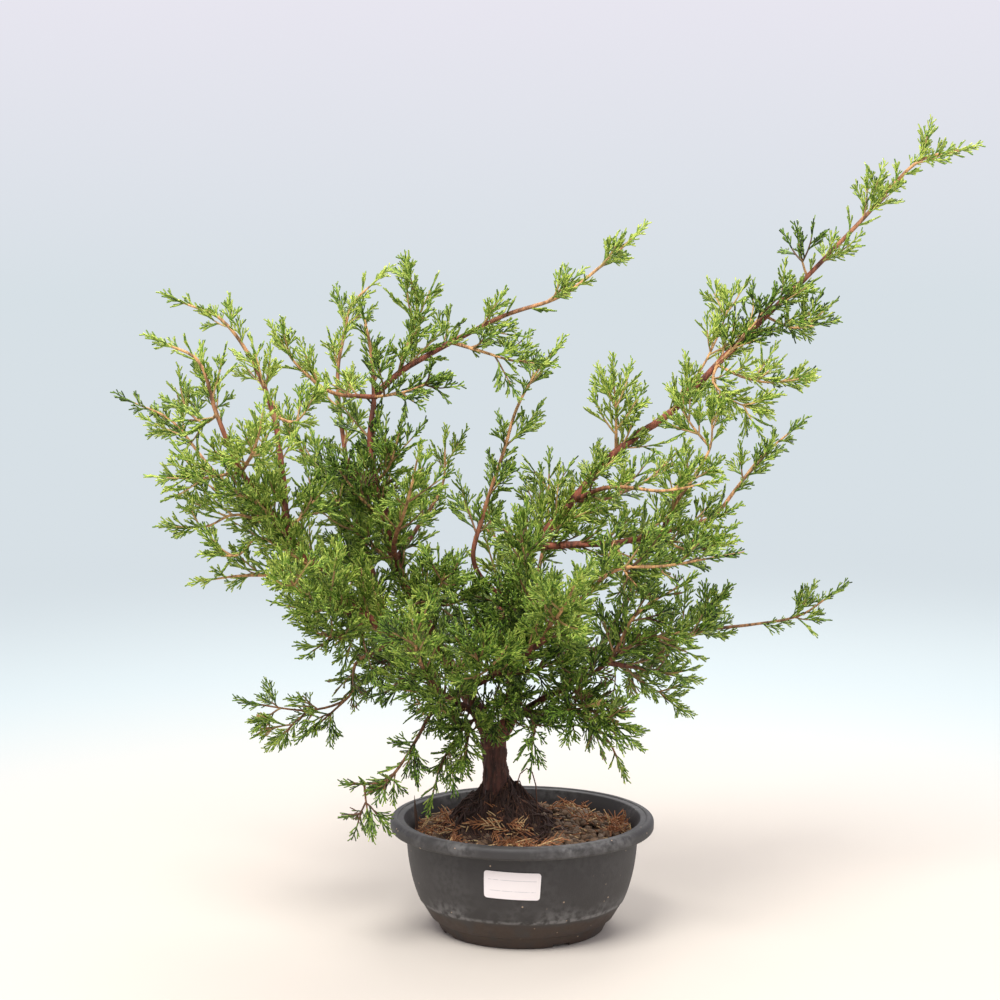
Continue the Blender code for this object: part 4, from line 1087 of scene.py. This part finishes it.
class BONSAI_OT_wood(bpy.types.Operator):
    """Grow the trunk, root flare and limbs with their bark"""

    bl_idname = "bonsai.wood"
    bl_label = "Trunk and limbs"

    def execute(self, context):
        s = context.scene.bonsai_wood
        limbs = grow_limbs()
        thick = {"trunk": limbs["trunk"], **grow_roots()}
        for name, limb in limbs.items():
            if limb.radii[0] >= THICK_LIMB and name != "trunk":
                thick[name] = limb
        skin = self.thick_wood(s, list(thick.values()))
        thin = self.thin_wood([limb for name, limb in limbs.items() if name != "trunk"])
        material = bark(s)
        dress(link("trunk_bark", skin, material), "bark", "trunk_and_limbs")
        stems = link("limb_bark", thin, material)
        dress(stems, "bark")
        return {"FINISHED"}

    def tubes(self, limbs, resolution, thinnest):
        """One mesh of tubes along the limbs while they are thicker than the thinnest."""
        noise.seed_set(WOBBLE_SEED)  # noise_vector's offsets follow the clock until they are seeded
        curve = tube_curve("tubes", resolution)
        for limb in limbs:
            kept = [i for i, radius in enumerate(limb.radii) if radius >= thinnest] or [0, 1]
            spline = curve.splines.new("POLY")
            spline.points.add(len(kept) - 1)
            for point, index in zip(spline.points, kept):
                wobble = noise.noise_vector(limb.points[index] * 0.06) * min(1.0, limb.radii[index] * 0.22)
                if index == 0:
                    wobble *= 0.0  # the fork itself stays on the parent's centre line
                point.co = (*((limb.points[index] + wobble) * MM), 1.0)
                swell = 1.0 + 0.10 * noise.noise(limb.points[index] * 0.11)
                point.radius = limb.radii[index] * swell * MM
        return curve_mesh(curve)

    def thick_wood(self, s, limbs):
        """Fused tubes with a rough, streaked skin."""
        holder = link("bark_blank", self.tubes(limbs, 4, THINNEST_FUSED))
        fuse = holder.modifiers.new("fuse", "REMESH")
        fuse.mode = "VOXEL"
        fuse.voxel_size = s.voxel * MM
        even = holder.modifiers.new("even", "SMOOTH")
        even.iterations = 3
        mesh = evaluated(holder)
        radius_near = radius_lookup(limbs)
        girth = mesh.attributes.new("girth", "FLOAT", "POINT")
        normals = [vert.normal.copy() for vert in mesh.vertices]
        for vert, normal in zip(mesh.vertices, normals):
            place = vert.co / MM
            radius = radius_near(place)
            girth.data[vert.index].value = radius
            streak = Vector((place.x * 0.55, place.y * 0.55, place.z * 0.13))
            rough = 0.75 * noise.noise(streak) + 0.35 * noise.noise(place * 0.9)
            vert.co += normal * rough * min(1.5, radius * 0.16) * MM
        return mesh

    def thin_wood(self, limbs):
        """Plain tapering tubes for the limbs, starting inside the thicker wood."""
        mesh = self.tubes(limbs, 2, 0.0)
        radius_near = radius_lookup(limbs)
        girth = mesh.attributes.new("girth", "FLOAT", "POINT")
        for vert in mesh.vertices:
            girth.data[vert.index].value = radius_near(vert.co / MM)
        return mesh


# ---- leaves ------------------------------------------------------------------------------------
BOX_MARGIN = 8.0  # leaves may stand this far outside the frame's box
LOWEST_LEAF = 30.0
RIM_CLEARANCE = (2.0, 3.0)  # out from the rim and above it
GOLDEN_TURN = 137.5  # degrees from one shoot to the next round its limb
END_MARGIN = 6.0  # no side shoot starts this near a limb's tip
TIP_SPACING = 6.4  # between sprays on the limb itself, near its tip
OPEN_SPACING = 9.0  # and on the rest of it
DEAD_SHARE = 0.035  # of the sprays low in the crown


class Grower:
    """Dresses one limb with shoots and flat, feathered sprays."""

    def __init__(self, s, name):
        self.s = s
        self.strands = Strands()
        self.stems = Strands()
        self.draw = random.Random(sum((i + 1) * ord(letter) for i, letter in enumerate(name)))
        self.low = [value / MM - BOX_MARGIN for value in CAD_BOX[0]]
        self.high = [value / MM + BOX_MARGIN for value in CAD_BOX[1]]

    def inside(self, point):
        """Whether a leaf may stand at a place: in the box, clear of the pot and above the lowest leaves."""
        for value, low, high in zip(point, self.low, self.high):
            if not low < value < high:
                return False
        out = math.hypot(point.x, point.y)
        if out < RIM_RADIUS + RIM_CLEARANCE[0] and point.z < POT_HEIGHT + RIM_CLEARANCE[1]:
            return False
        return point.z > LOWEST_LEAF

    @staticmethod
    def light(point):
        """0 in the middle of the crown, 1 at its top and outer edge: the painted light and shade of the leaves
        and stems.
        """
        rise = (point.z - 150.0) / 330.0
        out = math.hypot(point.x + 20.0, point.y * 1.25) / 250.0
        return clamp(0.06 + 0.55 * rise + 0.52 * out)

    @staticmethod
    def fullness(point):
        """Density of the leaves at a place: about half outside, full in the heart of the crown."""
        return 0.50 + 0.90 * math.exp(-((point.x + 50.0) / 115.0) ** 2 - ((point.z - 250.0) / 88.0) ** 2)

    @staticmethod
    def comb(point):
        """1 low in the crown, where shaded twigs are long and plain; 0 in its upper part."""
        return clamp((250.0 - point.z) / 90.0)

    def spray(self, base, along, face, length, tone, fresh_and_lit, narrow=1.0):
        """A flat frond: a spine with side twigs left and right, and short branchlets on them."""
        draw, cord = self.draw, self.s.twig_radius
        comb = self.comb(base)
        dead = draw.random() < DEAD_SHARE * comb
        bend = (face * draw.uniform(-0.10, 0.20) + UP * draw.uniform(0.0, 0.16)) / 4
        spine, heading, place = [base], along.copy(), base.copy()
        for _ in range(4):
            heading = (heading + bend + Vector((draw.gauss(0, 0.035), draw.gauss(0, 0.035), 0))).normalized()
            place = place + heading * length / 4
            spine.append(place)
        if not self.inside(spine[-1]) or not self.inside(spine[2]):
            return
        # Painted light: a spray in more light gets longer pale tips.
        old, young = (0.0, 0.12) if dead else (0.26, 0.80 + 0.2 * fresh_and_lit)
        self.strands.add(spine, cord, cord * 0.74, (old, young), tone)
        spacing = 3.5 - 0.7 * comb
        count = max(3, round(length / spacing))
        for index in range(count):
            t = 0.08 + 0.86 * (index + draw.uniform(0.25, 0.75)) / count
            segment = min(3, int(t * 4))
            root = spine[segment].lerp(spine[segment + 1], t * 4 - segment)
            ahead = (spine[segment + 1] - spine[segment]).normalized()
            side = 1 if index % 2 else -1
            grown = (1.0 - t) ** 0.6 * min(1.0, t / 0.2 + 0.45)
            reach = narrow * length * (0.46 + 0.05 * comb) * grown * draw.uniform(0.75, 1.15) + 3.2
            self.twig(root, ahead, face, side, reach, tone, t, fresh_and_lit, comb, dead)

    def twig(self, root, ahead, face, side, reach, tone, t, fresh_and_lit, comb, dead):
        """A side twig of a spray: nearly parallel strands that fork forward from it, blunt at their ends."""
        draw, cord = self.draw, self.s.twig_radius * (1.0 - 0.14 * comb)
        swing = side * draw.uniform(30, 46)
        lift = draw.uniform(-10, 16)
        out = turned_by(turned_by(ahead, face, swing), ahead, side * lift)
        points, place, heading = [root], root, out
        steps = 3 if reach > 5.5 else 2
        for _ in range(steps):
            heading = (heading + ahead * 0.14 + UP * 0.04).normalized()
            place = place + heading * reach / steps
            points.append(place)
        shade = clamp(tone + draw.uniform(-0.09, 0.09))
        # Painted light: twigs in more light get longer pale tips.
        ages = (0.0, 0.14) if dead else (0.34 + 0.14 * t, 0.86 + 0.14 * fresh_and_lit)
        self.strands.add(points, cord * 0.92, cord * 0.74, ages, shade)
        if reach < 5.5:
            return
        count = max(1, round((reach - 2.0) / (3.4 + 0.8 * comb)))
        for index in range(count):
            share = 0.14 + 0.60 * (index + draw.uniform(0.2, 0.8)) / count
            segment = min(steps - 1, int(share * steps))
            start = points[segment].lerp(points[segment + 1], share * steps - segment)
            forward = (points[segment + 1] - points[segment]).normalized()
            turn = (1 if index % 2 else -1) * side * draw.uniform(26, 40)
            way = turned_by(turned_by(forward, face, turn), forward, draw.uniform(-14, 14))
            run = min(7.5, reach * (1.0 - share) * draw.uniform(0.55, 0.85) + 1.8)
            end = start + (way + forward * 0.30).normalized() * run
            middle = start + way * run * 0.5
            ages = (0.0, 0.14) if dead else (0.46 + 0.18 * share, 0.92 + 0.08 * fresh_and_lit)
            self.strands.add([start, middle, end], cord * 0.88, cord * 0.74, ages, shade)

    def stem(self, base, along, length, lift):
        """A young stem's points, bending toward the light or hanging."""
        draw = self.draw
        points, place, heading = [base], base.copy(), along.copy()
        steps = 7
        for _ in range(steps):
            heading = (heading + UP * lift / steps + Vector((draw.gauss(0, 0.05), draw.gauss(0, 0.05),
                                                             draw.gauss(0, 0.04)))).normalized()
            place = place + heading * length / steps
            points.append(place)
        return points

    def side_spray(self, base, ahead, roll, reach, tone, fresh_and_lit):
        """One spray that leaves a stem or limb at a forward angle."""
        draw = self.draw
        out = turned_by(square_to(ahead), ahead, roll)
        way = (ahead * draw.uniform(1.2, 1.9) + out + UP * 0.10).normalized()
        face = turned_by(way.cross(ahead).normalized(), way, 90 + draw.uniform(-35, 35))
        self.spray(base, way, face, reach, clamp(tone), fresh_and_lit)

    def dress_stem(self, points, length, tone, fresh_and_lit):
        """Sprays in a loose spiral along a young stem, shorter toward its end, and a slim one at its end."""
        draw = self.draw
        count = max(3, round(length * 0.9 / self.s.spray_spacing))
        roll = draw.uniform(0, 360)
        widest = min(22.0, 9.0 + 0.30 * length) * (1.0 + 0.15 * self.comb(points[0]))
        for index in range(count):
            t = 0.10 + 0.87 * (index + draw.uniform(0.2, 0.8)) / count
            segment = min(len(points) - 2, int(t * (len(points) - 1)))
            base = points[segment].lerp(points[segment + 1], t * (len(points) - 1) - segment)
            ahead = (points[segment + 1] - points[segment]).normalized()
            roll += GOLDEN_TURN + draw.uniform(-25, 25)
            reach = (5.5 + widest * (1.0 - t) ** 0.6 * min(1.0, t / 0.25 + 0.5)) * draw.uniform(0.8, 1.15)
            # Painted shade: sprays darker toward the stem's base, deeper in the crown.
            shade = tone + 0.20 * (t - 0.5) + draw.uniform(-0.13, 0.13)
            self.side_spray(base, ahead, roll, reach, shade, fresh_and_lit)
        ahead = (points[-1] - points[-2]).normalized()
        face = turned_by(square_to(ahead), ahead, draw.uniform(0, 180))
        # The end spray gets more painted light.
        self.spray(points[-1], ahead, face, 14.0, min(1.0, tone + 0.15), fresh_and_lit, 0.6)

    def shoot(self, limb, along, roll, hanging, full):
        """A leafy stem that leaves the limb at a forward angle."""
        draw = self.draw
        base, ahead, radius = limb.at(along)
        out = turned_by(square_to(ahead), ahead, roll)
        if out.z < -0.3 and not hanging and draw.random() < 0.4 and base.z > 190.0:
            out.z = -out.z
        way = (ahead * draw.uniform(0.7, 1.6) + out).normalized()
        length = draw.uniform(16.0, 37.0) * (0.80 + 0.55 * (full - 0.5)) * (0.75 if hanging else 1.0)
        length = min(length, 14.0 + (limb.length - along) * 0.42)
        lift = draw.uniform(-0.75, -0.2) if hanging else draw.uniform(0.0, 0.65)
        light = self.light(base + way * length * 0.6)
        # The tone is painted light and shade: dark in the heart of the crown, light at its top and edge, spread
        # at random.
        tone = 0.02 + 0.76 * light + draw.uniform(-0.16, 0.16)
        points = self.stem(base, way, length, lift)
        if not self.inside(points[-1]):
            length *= 0.5
            points = self.stem(base, way, length, 0.0)
            if not self.inside(points[-1]):
                return
        self.stems.add(points, 0.55 + 0.010 * length, 0.45, (0.0, 0.17), clamp(tone))
        self.dress_stem(points, length, tone, light)

    def grow(self, limb, bare, hanging, share=1.0):
        """Clusters of side shoots along the leafy part of a limb, short sprays between, and its tip."""
        draw = self.draw
        roll = draw.uniform(0, 360)
        leafy = limb.length - bare
        along = bare + draw.uniform(0.0, min(6.0, 0.1 * leafy))
        while along < limb.length - END_MARGIN:
            full = self.fullness(limb.at(along)[0]) * share
            for _ in range(draw.choice((2, 2, 3))):
                roll += GOLDEN_TURN + draw.uniform(-25, 25)
                near = min(limb.length - END_MARGIN, max(bare, along + draw.uniform(-3.5, 3.5)))
                self.shoot(limb, near, roll, hanging, full)
            along += min(self.s.shoot_spacing / full, max(12.0, 0.42 * leafy)) * draw.uniform(0.7, 1.3)
        plume = min(110.0, max(40.0, 0.22 * limb.length))
        along = bare + draw.uniform(0.0, 5.0)
        while along < limb.length:
            base, ahead, radius = limb.at(along)
            roll += GOLDEN_TURN + draw.uniform(-30, 30)
            light = self.light(base)
            left = limb.length - along
            reach = draw.uniform(11.0, 19.0) * min(1.0, 0.6 + left / 60.0)
            # Painted light and shade in each spray's tone.
            self.side_spray(base, ahead, roll, reach, 0.06 + 0.74 * light + draw.uniform(-0.17, 0.17), light)
            spacing = TIP_SPACING / share if left < plume else OPEN_SPACING / (self.fullness(base) * share)
            along += spacing * draw.uniform(0.6, 1.4)
        tip, ahead, radius = limb.at(limb.length)
        # The tip's sprays get more painted light.
        tone = min(1.0, 0.35 + 0.6 * self.light(tip))
        for turn in (0, 90):
            face = turned_by(square_to(ahead), ahead, turn + draw.uniform(-20, 20))
            self.spray(tip - ahead * turn / 15, ahead, face, 17.0, tone, 1.0, 0.6)


def owner(name):
    """The limb whose leaf piece takes in a limb or spur."""
    return SPURS[name][0] if name in SPURS else name


class BONSAI_OT_leaves(bpy.types.Operator):
    """Grow the scale-leaf shoots of every limb"""

    bl_idname = "bonsai.leaves"
    bl_label = "Leafy shoots"

    def execute(self, context):
        s = context.scene.bonsai_leaf
        limbs = grow_limbs()
        material = scale_leaf(s)
        growers = {}
        for name in [*LIMBS, *SPURS]:
            grower = growers.setdefault(owner(name), Grower(s, owner(name)))
            bare = min(BARE.get(name, BARE_DEFAULT), 0.6 * limbs[name].length)
            grower.grow(limbs[name], bare, name in HANGING, THIN.get(name, 1.0))
        for name, grower in growers.items():
            meshes = grower.strands.meshes(name) + grower.stems.meshes(name, 1)
            piece = join(f"leaves_{name}", meshes, material)
            nodes = [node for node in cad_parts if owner_of(node) == name]
            dress(piece, "foliage", *nodes)
        return {"FINISHED"}


def owner_of(node):
    """The limb that a foliage node belongs to, or nothing for any other node."""
    if not node.startswith("foliage_"):
        return None
    name = node[len("foliage_"):]
    return name if name in LIMBS else name.rsplit("_", 1)[0]


# ---- label and stick ---------------------------------------------------------------------------
LABEL_TILT_DEG = -2.4
LABEL_RISE = 1.2  # above the middle of the label's own box
LABEL_GAP = 0.45
LABEL_THICKNESS = 0.16


class BONSAI_OT_label(bpy.types.Operator):
    """Lay a blank ruled label on the pot's front wall"""

    bl_idname = "bonsai.label"
    bl_label = "Paper label"

    def execute(self, context):
        s = context.scene.bonsai_label
        low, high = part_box("label")
        middle = (low + high) / 2 / MM
        outward = Vector((middle.x, middle.y, 0.0)).normalized()
        azimuth = math.atan2(outward.y, outward.x)
        skin = math.hypot(low.x + high.x, 2 * low.y) / 2 / MM
        bm = bmesh.new()
        bmesh.ops.create_grid(bm, x_segments=40, y_segments=20, size=0.5)
        uv = bm.loops.layers.uv.new("OFBake")
        for face in bm.faces:
            for loop in face.loops:
                loop[uv].uv = (loop.vert.co.x + 0.5, loop.vert.co.y + 0.5)
        pot = context.scene.bonsai_pot
        tilt = Matrix.Rotation(math.radians(LABEL_TILT_DEG), 2)
        for vert in bm.verts:
            across, up = self.rounded(vert.co.x * s.width, vert.co.y * s.height, s)
            across, up = tilt @ Vector((across, up))
            height = middle.z + LABEL_RISE + up
            lip_bottom = POT_HEIGHT - pot.lip_height
            fraction = (height - pot.foot_height) / (lip_bottom - pot.foot_height)
            wall = pot.shoulder_radius + (pot.body_radius - pot.shoulder_radius) * belly(fraction)
            turn = azimuth + across / skin
            flat = Vector((wall * math.cos(turn), wall * math.sin(turn), height))
            radius = wall + LABEL_GAP + WALL_SWELL * noise.noise(flat * SWELL_SCALE)
            vert.co = Vector((radius * math.cos(turn), radius * math.sin(turn), height))
        for face in bm.faces:
            face.normal_update()
        if sum(face.normal.dot(face.calc_center_median()) for face in bm.faces) < 0:
            bmesh.ops.reverse_faces(bm, faces=bm.faces)
        bmesh.ops.solidify(bm, geom=bm.faces[:], thickness=-LABEL_THICKNESS)
        label = from_bmesh("paper_label", bm, label_paper(s), sharp=50)
        dress(label, "label_paper", "label")
        return {"FINISHED"}

    @staticmethod
    def rounded(across, up, s):
        """Draw a corner of the sheet in onto its rounding."""
        edge_x, edge_y = s.width / 2 - s.corner, s.height / 2 - s.corner
        over_x, over_y = abs(across) - edge_x, abs(up) - edge_y
        if over_x > 0 and over_y > 0:
            reach = max(over_x, over_y)
            turn = math.atan2(over_y, over_x)
            across = math.copysign(edge_x + reach * math.cos(turn), across)
            up = math.copysign(edge_y + reach * math.sin(turn), up)
        return across, up


class BONSAI_OT_stick(bpy.types.Operator):
    """Push the pointed stick into the soil by the wall"""

    bl_idname = "bonsai.stick"
    bl_label = "Pointed stick"

    def execute(self, context):
        low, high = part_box("stick")
        foot = Vector((high.x, (low.y + high.y) / 2, low.z)) / MM
        point = Vector((low.x, (low.y + high.y) / 2, high.z)) / MM
        foot.x -= 1.2
        point.x += 0.5
        run = point - foot
        points = []
        last = 11
        for step in range(last + 1):
            t = step / last
            bend = Vector((0.5 * math.sin(t * 5.0), 0.4 * math.sin(t * 7.0 + 1.0), 0.0)) * (1.0 - t)
            points.append(foot + run * t + bend)
        parts = Strands()
        parts.add(points[:9], 1.25, 1.05, (0.0, 0.8), 0.5)
        parts.add(points[8:], 1.05, 0.12, (0.8, 1.0), 0.5)
        stick = join("pointed_stick", parts.meshes("stick", 3), stick_wood())
        dress(stick, "stick_wood", "stick")
        return {"FINISHED"}


# ---- stage -------------------------------------------------------------------------------------
LAMPS = {  # place in metres, width in metres, watts, tint
    "key": ((-0.5, -1.2, 2.2), 1.2, 72.0, (1.0, 0.985, 0.96)),
    "fill": ((1.5, -1.5, 1.0), 1.6, 6.0, (0.93, 0.97, 1.0)),
    "back": ((0.4, 1.5, 1.9), 1.5, 32.0, (1.0, 0.99, 0.96)),
}
LAMPS_AIM = Vector((-0.02, 0.0, 0.28))
TABLE_RADIUS = 9000.0


class BONSAI_OT_stage(bpy.types.Operator):
    """Set the table, the soft lights and the camera"""

    bl_idname = "bonsai.stage"
    bl_label = "Studio stage"

    def execute(self, context):
        s = context.scene.bonsai_stage
        bm = bmesh.new()
        bmesh.ops.create_circle(bm, cap_ends=True, segments=96, radius=TABLE_RADIUS)
        ground = from_bmesh("studio_table", bm, studio_ground(s), smooth=False)
        ground.location.z = -0.0004  # just under the foot, so that the two don't flicker
        self.world(context, s)
        context.scene.view_settings.view_transform = "Standard"
        for name, settings in LAMPS.items():
            self.lamp(name, *settings)
        lens = bpy.data.cameras.new("camera")
        lens.lens = s.lens
        lens.sensor_width = 36.0
        lens.clip_end = 50.0
        camera = bpy.data.objects.new("camera", lens)
        bpy.context.scene.collection.objects.link(camera)
        camera.location = (s.camera_side * MM, -s.camera_distance * MM, s.camera_height * MM)
        camera.rotation_euler = (math.radians(90.0 - s.camera_pitch), 0.0, 0.0)
        context.scene.camera = camera
        return {"FINISHED"}

    @staticmethod
    def lamp(name, place, width, watts, tint):
        data = bpy.data.lights.new(name, "AREA")
        data.shape = "DISK"
        data.size = width
        data.energy = watts
        data.color = tint
        lamp = bpy.data.objects.new(name, data)
        bpy.context.scene.collection.objects.link(lamp)
        lamp.location = place
        aim = LAMPS_AIM - Vector(place)
        lamp.rotation_euler = aim.to_track_quat("-Z", "Y").to_euler()

    @staticmethod
    def world(context, s):
        world = bpy.data.worlds.new("studio")
        context.scene.world = world
        world.use_nodes = True
        nodes, links = world.node_tree.nodes, world.node_tree.links
        place = nodes.new("ShaderNodeTexCoord")
        split = nodes.new("ShaderNodeSeparateXYZ")
        links.new(place.outputs["Generated"], split.inputs[0])
        ramp = nodes.new("ShaderNodeValToRGB")
        stops = ramp.color_ramp.elements
        stops[0].position, stops[0].color = 0.0, (*s.haze, 1.0)
        stops[1].position, stops[1].color = 0.16, (*s.sky, 1.0)
        links.new(split.outputs["Z"], ramp.inputs[0])
        sky = nodes["Background"]
        links.new(ramp.outputs[0], sky.inputs["Color"])
        sky.inputs["Strength"].default_value = 1.0


# ---- add-on ------------------------------------------------------------------------------------
class BONSAI_PT_panel(bpy.types.Panel):
    """Buttons for each group of pieces"""

    bl_label = "Potted Juniper Bonsai"
    bl_idname = "BONSAI_PT_panel"
    bl_space_type = "VIEW_3D"
    bl_region_type = "UI"
    bl_category = "Bonsai"

    def draw(self, context):
        for operator in OPERATORS:
            self.layout.operator(operator.bl_idname)
        for name, group in SETTINGS.items():
            box = self.layout.box()
            for key in group.__annotations__:
                box.prop(getattr(context.scene, name), key)


OPERATORS = (BONSAI_OT_stage, BONSAI_OT_pot, BONSAI_OT_soil, BONSAI_OT_root_mound, BONSAI_OT_litter,
             BONSAI_OT_wood, BONSAI_OT_leaves, BONSAI_OT_label, BONSAI_OT_stick)
SETTINGS = {"bonsai_pot": PotSettings, "bonsai_soil": SoilSettings, "bonsai_wood": WoodSettings,
            "bonsai_leaf": LeafSettings, "bonsai_label": LabelSettings, "bonsai_stage": StageSettings}


def register():
    for name, group in SETTINGS.items():
        bpy.utils.register_class(group)
        setattr(bpy.types.Scene, name, PointerProperty(type=group))
    for operator in OPERATORS:
        bpy.utils.register_class(operator)
    bpy.utils.register_class(BONSAI_PT_panel)


def unregister():
    bpy.utils.unregister_class(BONSAI_PT_panel)
    for operator in reversed(OPERATORS):
        bpy.utils.unregister_class(operator)
    for name, group in SETTINGS.items():
        delattr(bpy.types.Scene, name)
        bpy.utils.unregister_class(group)


def main():
    register()
    for operator in OPERATORS:
        prefix, name = operator.bl_idname.split(".")
        getattr(getattr(bpy.ops, prefix), name)()


if __name__ == "__main__":
    main()
